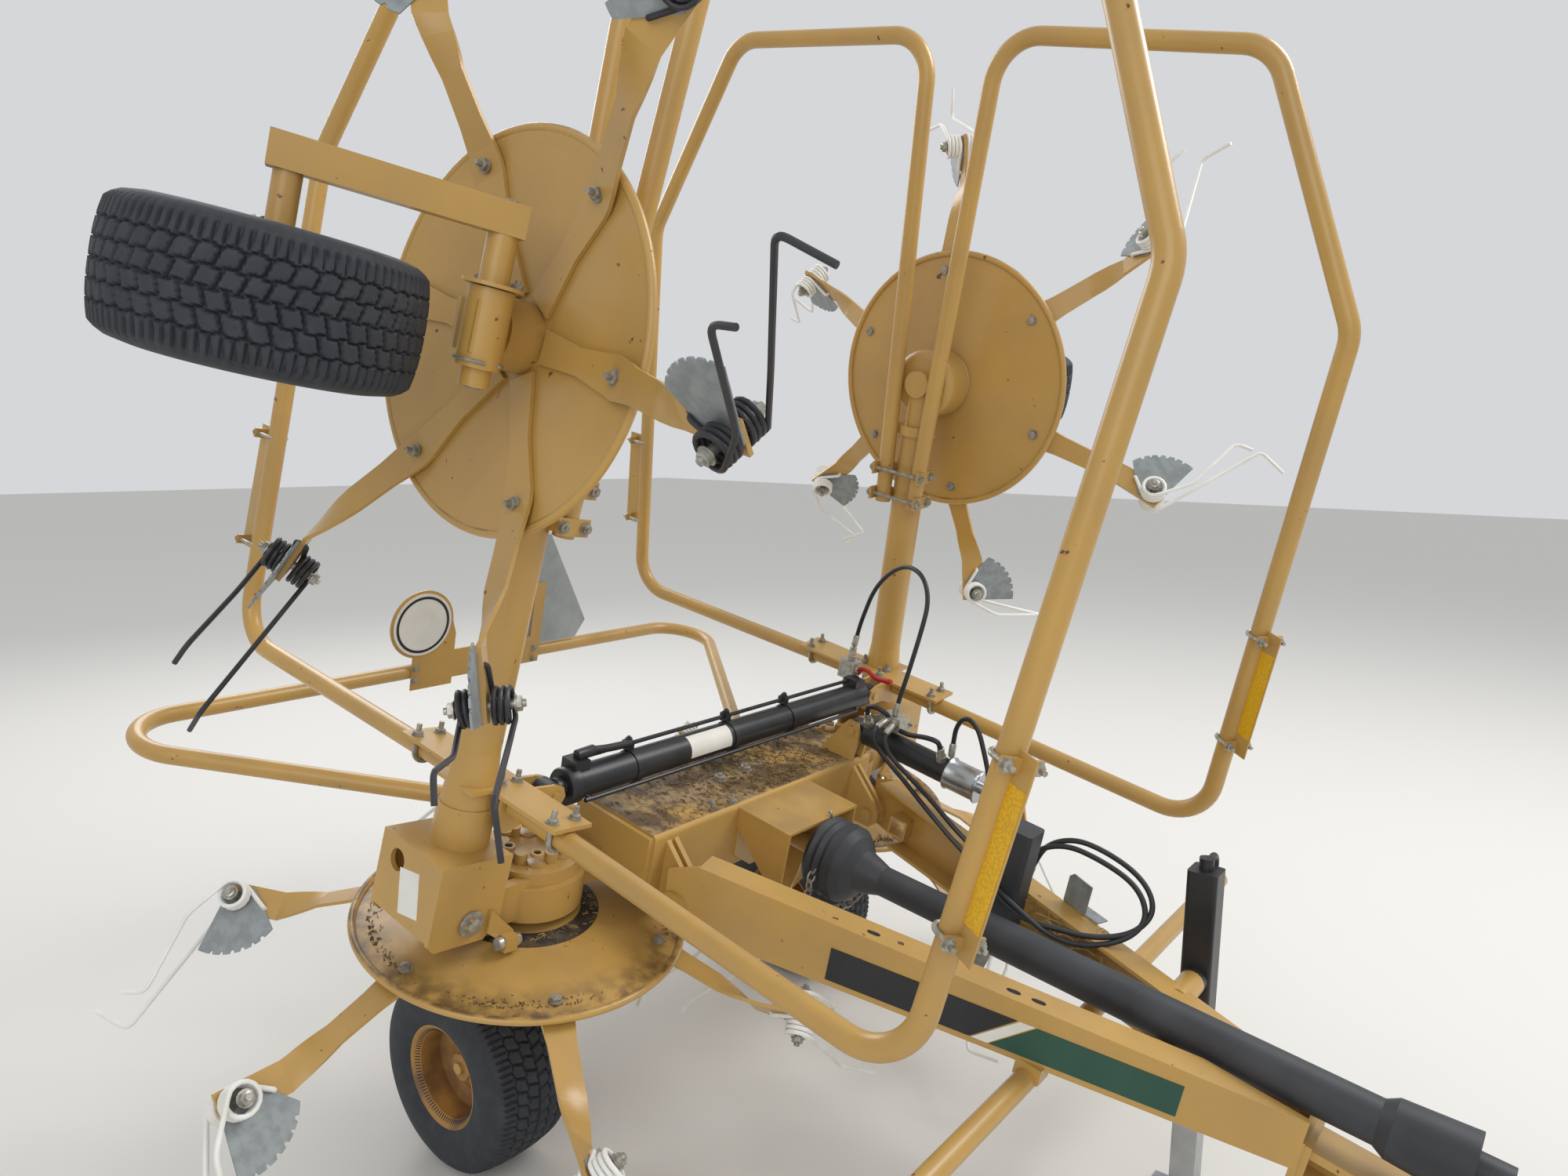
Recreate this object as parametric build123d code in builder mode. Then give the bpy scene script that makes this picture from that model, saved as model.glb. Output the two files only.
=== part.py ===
from build123d import *
from math import atan2, cos, degrees, hypot, radians, sin
import os

os.makedirs("parts", exist_ok=True)

# A trailed four-rotor hay tedder, parked on its two inner wheels and its jack with both wings folded up.
# Millimetres and degrees. +X is forward, +Y is left, +Z is up, and the origin is on the floor under the middle.
# Most pieces are drawn in the leaning frame, whose origin is the floor point under the inner rotors' shafts.

# Stance
pitch = 11.8  # the frame leans forward by this
fold_swing = 96.7  # a wing's turn about its hinge between parked and at work
frame_x = -549.4  # the frame's origin, seen from the machine's
frame_y = -15.4  # the tines' reach is uneven, so the middle of the whole is beside the centre line
seat_gap = 0.3  # between faces that turn on each other
pin_play = 0.05  # round every pin and shaft in its bore

# Rotors
rotor_y = 553.5  # inner rotor shaft from the centre line
rotor_z = 595.0  # plane of the disc rims
arm_count = 6
disc_radius = 350.0
disc_rise = 42.0  # the dish's crown above its rim
disc_wall = 4.0
lip_radius = 8.0
hub_radius = 62.0
hub_drop = 34.0  # hub flange below the rim plane
spindle_radius = 25.0  # fixed spindle through the hub, from gearbox to wheel leg
coil_centre = 628.0  # tine bolt from the rotor shaft
coil_drop = 100.0  # tine bolt below the rim plane
tine_tilt = 44.0  # tine bolt's slant out of the rotor's plane
arm_thick = 8.0
arm_hub_end = 70.0
arm_bolt = 297.0
arm_widths = (60.0, 46.0, 72.0, 56.0, 52.0, 60.0)  # hub end, waist, bolt, neck, twist, tip
coil_radius = 32.0
coil_length = 42.0
tine_wire = 9.5
tine_pin = 8.0
sector_radius = 128.0
sector_thick = 3.5
short_leg = ((70.0, -60.0), (84.0, -224.0), (128.0, -232.0))  # out from the bolt, along the leg
long_leg = ((60.0, -90.0), (128.0, -295.0), (208.0, -273.0))

# Wheels
tyre_radius = 220.0
tyre_width = 205.0
tread_width = 164.0
rim_radius = 101.6
rim_width = 178.0
rim_wall = 5.0
axle_radius = 12.5
wheel_x = -50.0  # axle behind the rotor shaft
wheel_z = 214.3  # axle height in the leaning frame when a rotor is at work
wheel_side = 35.0  # wheel's middle from the rotor shaft, away from its leg
leg_side = 170.0  # leg's middle from the rotor shaft
leg_tube = 50.0
pivot_x = 95.0  # leg pivot ahead of the rotor shaft
pivot_drop = 112.0  # leg pivot below the rim plane
pivot_radius = 24.0

# Beam between the inner gearboxes
beam_front = 205.0
beam_rear = -32.0
beam_half = 400.0
beam_top = 835.0
beam_deep = 165.0

# Gearboxes
gear_radius = 118.0
gear_base = 60.0  # above the rim plane
gear_high = 165.0  # top above the rim plane
wing_gear_radius = 92.0
wing_flange = 52.0

# Wing hinge and arm; u runs out along a wing from its hinge pin
hinge_y = 770.0
hinge_z = 715.0
hinge_pin = 15.0
cheek_out = 96.0  # outer faces of the hinge box's cheeks from the shaft line, fore and aft
cheek_wall = 10.0
cheek_gap = 5.0  # from a cheek to the fixed lug inside it
box_low = -46.0
box_high = 128.0
collar_high = 83.0
box_inner = -72.0  # w: below the pin at work, outboard when folded
box_outer = 88.0
wing_reach = 1092.0  # hinge pin to the outer rotor's shaft
arm_rise = 15.0  # wing tube's centre above the hinge pin at work
arm_radius = 42.5
collar_radius = 57.0

# Wing guards, as u along the wing and v ahead of the shaft line
guard_radius = 21.2
guard_rise = 62.0
guard_bend = 110.0
guard_start = (226.0, 82.0)
guard_corners = ((206.0, 993.0), (1390.0, 1018.0), (1921.0, 732.0), (1939.0, 97.0))
guard_end = (757.0, 50.0)
clamp_low = 36.0  # height of the seats under the guards' outer ends
clamp_us = (780.0, 852.0)

# Drawbar, hung on two pins ahead of the beam, in the leaning frame
pin_x = 275.0
pin_z = 708.0
pin_radius = 16.0
draw_nose = 1450.0
draw_top_rear = 812.0
draw_top_nose = 785.0
draw_deep_rear = 150.0
draw_deep_nose = 96.0
draw_flange = 62.0
draw_wall = 8.0
draw_rear_y = beam_half - 8.0
draw_nose_y = 60.0
nose_top = 745.0
tongue_z = 695.0
hitch_reach = 1850.0
hitch_bore = 16.5
hitch_gap = 36.0
hitch_wall = 16.0
hitch_wide = 90.0
cross_x = 1010.0
cross_z = 652.0
cross_half = 1010.0
cross_seat = 33.0  # from the bar's axis up into the channels' lower flanges
manual_x = 750.0
socket_x = 380.0
socket_z = 722.0
socket_bore = 40.0

# Drive shaft
joint_x = 360.0
joint_z = 750.0
shaft_slope = 3.2
bellows_radius = 90.0
inner_tube = 33.0
guard_tube = 40.0
yoke_bore = 17.5

# Jack on the left drawbar beam, swung down to park
jack_x = 1293.0  # its swivel, from the frame's origin along the floor
jack_y = 265.0
jack_z = 515.0
jack_tube = 62.0
jack_wall = 5.0
jack_leg = 51.4
jack_above = 227.0
jack_below = 194.0
foot_long = 150.0
foot_wide = 92.0
foot_thick = 8.0

# Cylinders
eye_radius = 26.0
eye_pin = 12.0
lug_wall = 8.0
fold_eye_in = 190.0  # eye from the hinge pin towards the centre line, folded
fold_eye_up = 205.0
fold_x = 50.0
fold_barrel = 35.0
fold_bore = 28.0
fold_rod = 19.0
fold_lug = 22.0  # from the cylinder's middle to its lugs
tilt_y = draw_rear_y - 47.0
tilt_rear = (185.0, 915.0)
tilt_front = (640.0, 905.0)
tilt_barrel = 32.0
tilt_bore = 25.0
tilt_rod = 15.0
tilt_lug = 18.0

# Rear guard rail
rail_z = 708.0
rail_x = -1051.0
rail_y = 1106.0
rail_root = 236.0
rail_bend = 130.0
speed_y = -155.0
slow_y = 270.0

lean = Location((frame_x, frame_y, 0), (0, pitch, 0))


def put(piece, name, place):
    """Moves a finished piece to its place on the machine, labels it and writes its file."""
    piece.part.locate(place)
    piece.part.label = name
    export_step(piece.part, f"parts/{name}.step")


def wing_place(side):
    """A wing is drawn at work, straight out from its hinge pin, then folded up about that pin."""
    return lean * Location((0, side * hinge_y, hinge_z), (side * fold_swing, 0, 0))


# Each rotor: name, side of the machine, place, tilt of its tines, and an arm's angle from straight ahead.
rotor_rows = (
    ("right_inner", -1, lean * Location((0, -rotor_y, rotor_z)), 1, 34.0),
    ("left_inner", 1, lean * Location((0, rotor_y, rotor_z)), -1, 54.0),
    ("right_outer", -1, wing_place(-1) * Location((0, -wing_reach, rotor_z - hinge_z)), -1, 4.5),
    ("left_outer", 1, wing_place(1) * Location((0, wing_reach, rotor_z - hinge_z)), 1, 42.0),
)


def dish_under(r):
    """Height of the dish's underside at a radius, along its straight cone."""
    return (disc_rise - disc_wall) * (312 - r) / (312 - hub_radius) + 2 * (r - hub_radius) / (312 - hub_radius)


def make_disc(name, place):
    """Dished disc with a rolled lip, on its hub; the hub's flange is turned with it."""
    top = disc_rise
    with BuildPart() as disc:
        with BuildSketch(Plane.XZ):
            with BuildLine():
                Polyline(
                    (spindle_radius + pin_play, -hub_drop),
                    (hub_radius, -hub_drop),
                    (hub_radius, top - disc_wall),
                    (312, 2),
                    (337, -3),
                    (340, 1),
                    (314, 2 + disc_wall),
                    (hub_radius + 24, top + 1),
                    (hub_radius + 6, gear_base - seat_gap),
                    (spindle_radius + pin_play, gear_base - seat_gap),
                    close=True,
                )
            make_face()
            with Locations((disc_radius - lip_radius, 2)):
                Circle(lip_radius)
        revolve(axis=Axis.Z)
    put(disc, f"disc_{name}", place)


def make_arms(name, place, hand, phase):
    """Flat arms under the disc, waisted, widened at the bolt, and twisted towards the tine bolt at the tip."""
    seat = 1.3
    t = arm_thick
    twist_start = 440.0
    twist_end = 532.0
    rim_z = -lip_radius - 1.2 - t / 2
    neck_z = rim_z - (coil_drop + rim_z) * (twist_start - 322) / (twist_end - 322)
    tip_end = coil_centre + 26
    turn = -hand * (90 - tine_tilt)
    hub_w, waist_w, bolt_w, neck_w, twist_w, tip_w = arm_widths
    # top line of the arm, as radius and height
    top_line = (
        (arm_hub_end, dish_under(arm_hub_end) - seat),
        (278, dish_under(278) - seat),
        (322, rim_z + t / 2),
        (twist_start, neck_z + t / 2),
    )
    under_line = [(r, z - t) for r, z in reversed(top_line)]
    # plan of the arm, as radius and half width
    plan = (
        (arm_hub_end, hub_w / 2),
        (185, waist_w / 2),
        (arm_bolt, bolt_w / 2),
        (365, neck_w / 2),
        (twist_start, twist_w / 2),
    )
    with BuildPart() as strip:
        with BuildSketch(Plane.XZ):
            Polygon(*top_line, *under_line, align=None)
        extrude(amount=bolt_w / 2, both=True)
        with BuildSketch(Plane.XY.offset(-150)):
            Polygon(*plan, *[(r, -w) for r, w in reversed(plan)], align=None)
        extrude(amount=250, mode=Mode.INTERSECT)
        for stop in range(3):
            a, b = stop / 3, (stop + 1) / 3
            with BuildSketch(section_plane(a, twist_start, twist_end, neck_z, turn)):
                Rectangle(twist_w + (tip_w - twist_w) * a, t)
            with BuildSketch(section_plane(b, twist_start, twist_end, neck_z, turn)):
                Rectangle(twist_w + (tip_w - twist_w) * b, t)
            loft(ruled=True)
        with BuildSketch(section_plane(1, twist_start, twist_end, neck_z, turn)):
            Rectangle(tip_w, t)
        extrude(amount=tip_end - twist_end)
        with Locations(Location((coil_centre, 0, -coil_drop), (turn, 0, 0))):
            Cylinder(tine_pin + 0.4, 60, mode=Mode.SUBTRACT)
    with BuildPart() as arms:
        with PolarLocations(0, arm_count, start_angle=phase):
            add(strip.part)
    put(arms, f"arms_{name}", place)


def section_plane(share, start, end, z, turn):
    """Plane across the arm's twist: share 0 lies flat, share 1 faces along the tine bolt."""
    a = radians(turn * share)
    drop = z - (coil_drop + z) * share
    return Plane(
        origin=(start + (end - start) * share, 0, drop),
        x_dir=(0, cos(a), sin(a)),
        z_dir=(1, 0, 0),
    )


def make_tines(name, place, hand, phase):
    """Six double spring tines: bolt, two coils, the notched sector beside the arm, and two hooked legs."""
    inner = arm_thick / 2 + seat_gap
    coil_in = inner + sector_thick
    coil_out = coil_in + coil_length
    spin = Location((coil_centre, 0, -coil_drop), (hand * tine_tilt, 0, 0))
    with BuildPart() as tine:
        with BuildSketch(Plane.XZ.offset(-coil_out - 10)):
            Circle(tine_pin)
        extrude(amount=2 * coil_out + 20)
        for out, far in ((coil_in, coil_out), (-inner, -inner - coil_length)):
            with BuildSketch(Plane.XZ.offset(-far)):
                Circle(coil_radius)
            extrude(amount=far - out)
        with BuildSketch(Plane.XZ.offset(-coil_in)):
            with BuildLine():
                a1, a2 = radians(196), radians(282)
                p1 = (sector_radius * 0.7 * cos(a1), sector_radius * 0.7 * sin(a1))
                p2 = (sector_radius * cos(a2), sector_radius * sin(a2))
                mid = (sector_radius * cos(radians(240)), sector_radius * sin(radians(240)))
                Polyline((18, 10), (-18, 22), p1)
                ThreePointArc(p1, mid, p2)
                Line(p2, (18, 10))
            make_face()
        extrude(amount=sector_thick)
        for y, leg in ((coil_out - tine_wire, short_leg), (-inner - coil_length + tine_wire, long_leg)):
            start = (coil_radius - 8, 12)
            with BuildLine() as wire:
                FilletPolyline(*[(x, y, z) for x, z in (start, *leg)], radius=20)
            with BuildSketch(Plane(origin=wire.line @ 0, z_dir=wire.line % 0)):
                Circle(tine_wire / 2)
            sweep(path=wire.line)
    with BuildPart() as tines:
        with PolarLocations(0, arm_count, start_angle=phase):
            with Locations(spin):
                add(tine.part)
    put(tines, f"tines_{name}", place)


for rotor_name, rotor_side, rotor_place, rotor_hand, rotor_phase in rotor_rows:
    make_disc(rotor_name, rotor_place)
    make_arms(rotor_name, rotor_place, rotor_hand, rotor_phase)
    make_tines(rotor_name, rotor_place, rotor_hand, rotor_phase)
    print("rotor", rotor_name)


def make_wheel(name, place, leg_out):
    """Wide turf tyre on a pressed dish rim; leg_out is the side its stub axle comes from."""
    half = rim_width / 2
    tread = tread_width / 2
    with BuildPart() as tyre:
        with BuildSketch(Plane.XY):
            with BuildLine():
                Polyline(
                    (rim_radius + seat_gap, -half + 8),
                    (rim_radius + 16, -half - 2),
                    (tyre_radius - 62, -tyre_width / 2),
                    (tyre_radius - 26, -tyre_width / 2 + 6),
                    (tyre_radius - 6, -tread),
                    (tyre_radius, -tread / 2),
                    (tyre_radius, tread / 2),
                    (tyre_radius - 6, tread),
                    (tyre_radius - 26, tyre_width / 2 - 6),
                    (tyre_radius - 62, tyre_width / 2),
                    (rim_radius + 16, half + 2),
                    (rim_radius + seat_gap, half - 8),
                    close=True,
                )
            make_face()
        revolve(axis=Axis.Y)
    put(tyre, f"tyre_{name}", place)
    with BuildPart() as rim:
        with BuildSketch(Plane.XY):
            with BuildLine():
                Polyline(
                    (axle_radius + pin_play, -40),
                    (30, -40),
                    (30, 22),
                    (66, 8),
                    (rim_radius - rim_wall - 6, 20),
                    (rim_radius - rim_wall, -half + 10),
                    (rim_radius + 10, -half - 4),
                    (rim_radius + 14, -half - 4),
                    (rim_radius, -half + 8),
                    (rim_radius, half - 8),
                    (rim_radius + 14, half + 4),
                    (rim_radius + 10, half + 4),
                    (rim_radius - rim_wall, half - 10),
                    (rim_radius - rim_wall, 28),
                    (66, 16),
                    (30, 30),
                    (30, 44),
                    (axle_radius + pin_play, 44),
                    close=True,
                )
            make_face()
        revolve(axis=Axis.Y)
    put(rim, f"rim_{name}", place * Location((0, 0, 0), (0, 0, 0 if leg_out < 0 else 180)))


def make_leg(name, place, out):
    """Wheel leg under a rotor: spindle, pivot bush with its sector, side arm, and stub axle. out is its side."""
    top = -hub_drop - seat_gap
    axle_drop = rotor_z - wheel_z
    arm_len = hypot(pivot_x - wheel_x, axle_drop - pivot_drop)
    slant = degrees(atan2(pivot_x - wheel_x, axle_drop - pivot_drop))
    mid_x = (pivot_x + wheel_x) / 2
    mid_z = -(pivot_drop + axle_drop) / 2
    with BuildPart() as leg:
        with BuildSketch(Plane.XY.offset(gear_base)):
            Circle(spindle_radius)
        extrude(amount=top - gear_base - 4)
        with BuildSketch(Plane.XY.offset(top)):
            Circle(48)
        extrude(amount=-12)
        with BuildSketch(Plane.XZ.offset(40)):
            Polygon((-40, top - 10), (40, top - 10), (pivot_x + 30, -pivot_drop + 10),
                    (pivot_x + 20, -pivot_drop - 34), (pivot_x - 30, -pivot_drop - 30), (-34, top - 44), align=None)
        extrude(amount=-80)
        with BuildSketch(Plane.XZ.offset(-out * leg_side)):
            with Locations((pivot_x, -pivot_drop)):
                Circle(pivot_radius)
        extrude(amount=out * (leg_side + 92))
        with BuildSketch(Plane.XZ.offset(-out * 62)):
            with Locations((pivot_x, -pivot_drop)):
                Circle(pivot_radius + 12)
        extrude(amount=out * 124)
        with Locations(Location((mid_x, out * leg_side, mid_z), (0, slant, 0))):
            Box(leg_tube, leg_tube, arm_len + leg_tube + 10)
        with BuildSketch(Plane.XZ.offset(-out * (leg_side - 10))):
            with Locations((wheel_x, -axle_drop)):
                Circle(axle_radius)
        extrude(amount=out * (leg_side + wheel_side + 42))
        with BuildSketch(Plane.XZ.offset(-out * (leg_side - 10))):
            with Locations((wheel_x, -axle_drop)):
                Circle(axle_radius + 8)
        extrude(amount=out * (leg_side - 10 + wheel_side - 46))
    put(leg, f"wheel_leg_{name}", place)


for rotor_name, rotor_side, rotor_place, rotor_hand, rotor_phase in rotor_rows:
    leg_out = -rotor_side if "inner" in rotor_name else rotor_side
    spot = rotor_place * Location((wheel_x, -leg_out * wheel_side, wheel_z - rotor_z))
    make_wheel(rotor_name, spot, leg_out)
    make_leg(rotor_name, rotor_place, leg_out)
print("wheels")


def make_inner_gearbox(side, tag):
    """Round gearbox on an inner rotor, with the neck to the beam and the two lugs that carry a wing."""
    base = rotor_z + gear_base
    top = rotor_z + gear_high
    lug_out = cheek_out - cheek_wall - cheek_gap
    with BuildPart() as box:
        with BuildSketch(Plane.XY.offset(base)):
            with Locations((0, side * rotor_y)):
                Circle(gear_radius)
        extrude(amount=top - base - 30)
        with BuildSketch(Plane.XY.offset(top - 30)):
            with Locations((0, side * rotor_y)):
                Circle(gear_radius - 14)
        extrude(amount=30)
        with BuildSketch(Plane.XY.offset(base + 22)):
            with Locations((0, side * (rotor_y + beam_half) / 2)):
                Rectangle(150, rotor_y - beam_half)
        extrude(amount=70)
        with BuildSketch(Plane.XZ.offset(-side * beam_half)):
            with Locations(((beam_front + beam_rear) / 2, (beam_top + base) / 2 + 8)):
                Rectangle(beam_front - beam_rear - 10, beam_top - base - 26)
        extrude(amount=-side * 14)
        with BuildSketch(Plane.XY.offset(top)):
            with Locations((0, side * rotor_y)):
                with PolarLocations(62, 6):
                    Circle(14)
        extrude(amount=22)
        for end in (-1, 1):
            with BuildSketch(Plane.YZ.offset(end * lug_out)):
                with BuildLine():
                    Polyline(
                        (side * rotor_y, base + 4),
                        (side * (hinge_y + 8), base + 14),
                        (side * (hinge_y + 34), hinge_z - 16),
                        (side * (hinge_y + 34), hinge_z + 16),
                        (side * (hinge_y + 8), hinge_z + 34),
                        (side * rotor_y, hinge_z + 34),
                        close=True,
                    )
                make_face()
            extrude(amount=-end * 22)
        with Locations(Location((0, side * hinge_y, hinge_z), (0, 90, 0))):
            Cylinder(hinge_pin + pin_play, 2 * cheek_out, mode=Mode.SUBTRACT)
    put(box, f"gearbox_inner_{tag}", lean)


def fold_eye():
    """Where the fold cylinder's eye sits on a wing at work: out from the hinge pin, and above it."""
    a = radians(fold_swing)
    return -fold_eye_in * cos(a) + fold_eye_up * sin(a), fold_eye_in * sin(a) + fold_eye_up * cos(a)


def make_wing_arm(side, tag):
    """Hinge box, collar and tube of a wing, with its hinge pin, guard plate, guard clamps and cylinder lug."""
    place = wing_place(side)
    mid_w = -(box_inner + box_outer) / 2
    eye_u, eye_up = fold_eye()
    neck = wing_reach - wing_gear_radius - 36
    with BuildPart() as arm:
        # cheeks, cap and outer wall of the hinge box; y is u, z is minus w
        for end in (-1, 1):
            with BuildSketch(Plane.YZ.offset(end * cheek_out)):
                Polygon(
                    (side * box_low, -box_inner - 30),
                    (side * box_low, -box_outer + 16),
                    (side * (box_low + 16), -box_outer),
                    (side * box_high, -box_outer),
                    (side * box_high, -box_inner),
                    (side * (box_low + 40), -box_inner),
                    align=None,
                )
            extrude(amount=-end * cheek_wall)
        with Locations((0, side * (box_high - cheek_wall / 2), mid_w)):
            Box(2 * cheek_out, cheek_wall, box_outer - box_inner)
        with Locations((0, side * (box_low + 20 + box_high) / 2, -box_outer + cheek_wall / 2)):
            Box(2 * cheek_out, box_high - box_low - 20, cheek_wall)
        with Locations(Location((-40, side * 85, -box_outer + cheek_wall / 2))):
            Cylinder(22, 2 * cheek_wall, mode=Mode.SUBTRACT)
        # collar and tube
        with BuildSketch(Plane.XZ.offset(-side * (box_high - 1))):
            with Locations((0, arm_rise)):
                Circle(collar_radius)
        extrude(amount=-side * collar_high)
        with BuildSketch(Plane.XZ.offset(-side * (box_high + collar_high - 1))):
            with Locations((0, arm_rise)):
                Circle(collar_radius - 3)
        with BuildSketch(Plane.XZ.offset(-side * (box_high + 190))):
            with Locations((0, arm_rise)):
                Circle(arm_radius)
        loft(ruled=True)
        with BuildSketch(Plane.XZ.offset(-side * (box_high + 190))):
            with Locations((0, arm_rise)):
                Circle(arm_radius)
        extrude(amount=-side * (neck - box_high - 190))
        with BuildSketch(Plane.XZ.offset(-side * (neck - 12))):
            with Locations((0, arm_rise)):
                Circle(wing_flange)
        extrude(amount=-side * 12)
        # hinge pin
        with Locations(Location((0, 0, 0), (0, 90, 0))):
            Cylinder(hinge_pin, 2 * cheek_out + 36)
        # plate across the collar that carries the guards' inner ends
        with BuildSketch(Plane.XZ.offset(-side * (guard_start[0] + 22))):
            with Locations((0, guard_rise)):
                Rectangle(2 * 245, 92)
            with Locations((0, 20)):
                Rectangle(120, 100)
        extrude(amount=-side * 8)
        # seats for the guards' outer ends
        for u in clamp_us:
            with Locations((0, side * u, clamp_low - 4)):
                Box(150, 26, 8)
        # two lugs that take the fold cylinder's eye, with the pin's ends outside them
        for end in (-1, 1):
            with BuildSketch(Plane.YZ.offset(fold_x + end * fold_lug)):
                Polygon(
                    (side * 172, 30),
                    (side * 172, 66),
                    (side * (eye_u - 29.5), eye_up - 45),
                    (side * (eye_u - 26), eye_up - 8),
                    (side * (eye_u - 20), eye_up + 18),
                    (side * eye_u, eye_up + 27),
                    (side * (eye_u + 20), eye_up + 18),
                    (side * (eye_u + 27), eye_up - 4),
                    (side * (guard_start[0] + 30), 75),
                    (side * (guard_start[0] + 30), 30),
                    align=None,
                )
            extrude(amount=end * lug_wall)
            with BuildSketch(Plane.YZ.offset(fold_x + end * (fold_lug + lug_wall))):
                with Locations((side * eye_u, eye_up)):
                    Circle(eye_pin)
            extrude(amount=end * 6)
        if side > 0:
            with BuildSketch(Plane.YZ.offset(fold_x - fold_lug)):
                with Locations((side * eye_u, eye_up)):
                    Circle(eye_pin)
            extrude(amount=2 * fold_lug)
    put(arm, f"wing_arm_{tag}", place)


def make_wing_gearbox(side, tag):
    """Round gearbox over an outer rotor, with the flanged neck that meets the wing's tube."""
    base = rotor_z - hinge_z + gear_base
    neck = wing_reach - wing_gear_radius - 36
    with BuildPart() as box:
        with BuildSketch(Plane.XY.offset(base)):
            with Locations((0, side * wing_reach)):
                Circle(wing_gear_radius)
        extrude(amount=34 - base)
        fillet(box.edges().filter_by(GeomType.CIRCLE).sort_by(Axis.Z)[-1], 26)
        with BuildSketch(Plane.XY.offset(30)):
            with Locations((0, side * wing_reach)):
                Circle(36)
        extrude(amount=26)
        with BuildSketch(Plane.XZ.offset(-side * neck)):
            with Locations((0, arm_rise)):
                Circle(wing_flange)
        extrude(amount=-side * 14)
        with BuildSketch(Plane.XZ.offset(-side * neck)):
            with Locations((0, arm_rise - 4)):
                Circle(arm_radius - 4)
        extrude(amount=-side * (wing_reach - neck))
    put(box, f"gearbox_outer_{tag}", wing_place(side))


def make_guard(side, tag, end, end_name):
    """Half loop of bent tube round a wing's rotor, in one plane above it; end is 1 ahead and -1 behind."""
    spots = (guard_start, *guard_corners, guard_end)
    with BuildPart() as guard:
        with BuildLine() as loop:
            FilletPolyline(*[(end * v, side * u, guard_rise) for u, v in spots], radius=guard_bend)
        with BuildSketch(Plane(origin=loop.line @ 0, z_dir=loop.line % 0)):
            Circle(guard_radius)
        sweep(path=loop.line)
        for v in (122, 222):
            with Locations((end * v, side * (guard_start[0] + 10), guard_rise)):
                Box(26, 24, 30)
        for u in clamp_us:
            v = guard_end[1] + (u - guard_end[0]) * 47 / 1182
            with Locations((end * v, side * u, (clamp_low + guard_rise - 8) / 2)):
                Box(24, 24, guard_rise - 8 - clamp_low)
    put(guard, f"guard_{end_name}_{tag}", wing_place(side))


for tag, side in (("right", -1), ("left", 1)):
    make_inner_gearbox(side, tag)
    make_wing_arm(side, tag)
    make_wing_gearbox(side, tag)
    for end, end_name in ((1, "front"), (-1, "rear")):
        make_guard(side, tag, end, end_name)
print("wings")

# Main beam: a closed box with gusseted ends, drawbar lugs and the tilt cylinder's lug
with BuildPart() as beam:
    with BuildSketch(Plane.XZ.offset(beam_half)):
        with Locations(((beam_front + beam_rear) / 2, beam_top - beam_deep / 2)):
            RectangleRounded(beam_front - beam_rear, beam_deep, 12)
    extrude(amount=-2 * beam_half)
    # gusset plates that take the drawbar's pins
    for side in (-1, 1):
        for y in (draw_rear_y - 62, draw_rear_y - 39):
            with BuildSketch(Plane.XZ.offset(-side * y)):
                Polygon(
                    (beam_front - 6, beam_top - 14),
                    (pin_x + 6, pin_z + 42),
                    (pin_x + 30, pin_z + 16),
                    (pin_x + 32, pin_z - 12),
                    (pin_x + 12, pin_z - 32),
                    (beam_front - 6, beam_top - beam_deep + 4),
                    align=None,
                )
            extrude(amount=-side * 12)
    with Locations(Location((pin_x, 0, pin_z), (90, 0, 0))):
        Cylinder(pin_radius + pin_play, 2 * draw_rear_y, mode=Mode.SUBTRACT)
    # lugs for the tilt cylinder's rear pin
    for end in (-1, 1):
        with BuildSketch(Plane.XZ.offset(-tilt_y - end * tilt_lug)):
            Polygon(
                (100, beam_top - 6),
                (tilt_rear[0] - 26, tilt_rear[1] + 8),
                (tilt_rear[0] - 14, tilt_rear[1] + 24),
                (tilt_rear[0] + 14, tilt_rear[1] + 24),
                (tilt_rear[0] + 26, tilt_rear[1] - 4),
                (beam_front - 2, beam_top - 6),
                align=None,
            )
        extrude(amount=-end * 10)
    with Locations(Location((tilt_rear[0], tilt_y, tilt_rear[1]), (90, 0, 0))):
        Cylinder(eye_pin, 2 * tilt_lug + 32)
put(beam, "main_beam", lean)

# Sheet-metal box round the drive shaft's rear joint, open below and ahead, with the input shaft in it
with BuildPart() as shaft_box:
    with BuildSketch(Plane.YZ.offset(beam_front)):
        Polygon((-126, 820), (126, 820), (126, 706), (60, 660), (-60, 660), (-126, 706), align=None)
    extrude(amount=6)
    with BuildSketch(Plane.YZ.offset(beam_front)):
        with Locations((0, 825)):
            Rectangle(264, 6)
    extrude(amount=150)
    for side in (-1, 1):
        with BuildSketch(Plane.XZ.offset(-side * 124)):
            Polygon(
                (beam_front, 828),
                (beam_front + 150, 828),
                (beam_front + 150, 668),
                (beam_front + 138, 664),
                (beam_front, 780),
                align=None,
            )
        extrude(amount=-side * 6)
    with BuildSketch(Plane.YZ.offset(beam_front)):
        with Locations((0, joint_z)):
            Circle(40)
    extrude(amount=40)
    with BuildSketch(Plane.YZ.offset(beam_front)):
        with Locations((0, joint_z)):
            Circle(22)
    extrude(amount=joint_x - beam_front + 8)
    with Locations(Location((joint_x, 0, joint_z), (90, 0, 0))):
        Cylinder(9, 76)
put(shaft_box, "shaft_box", lean)

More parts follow.
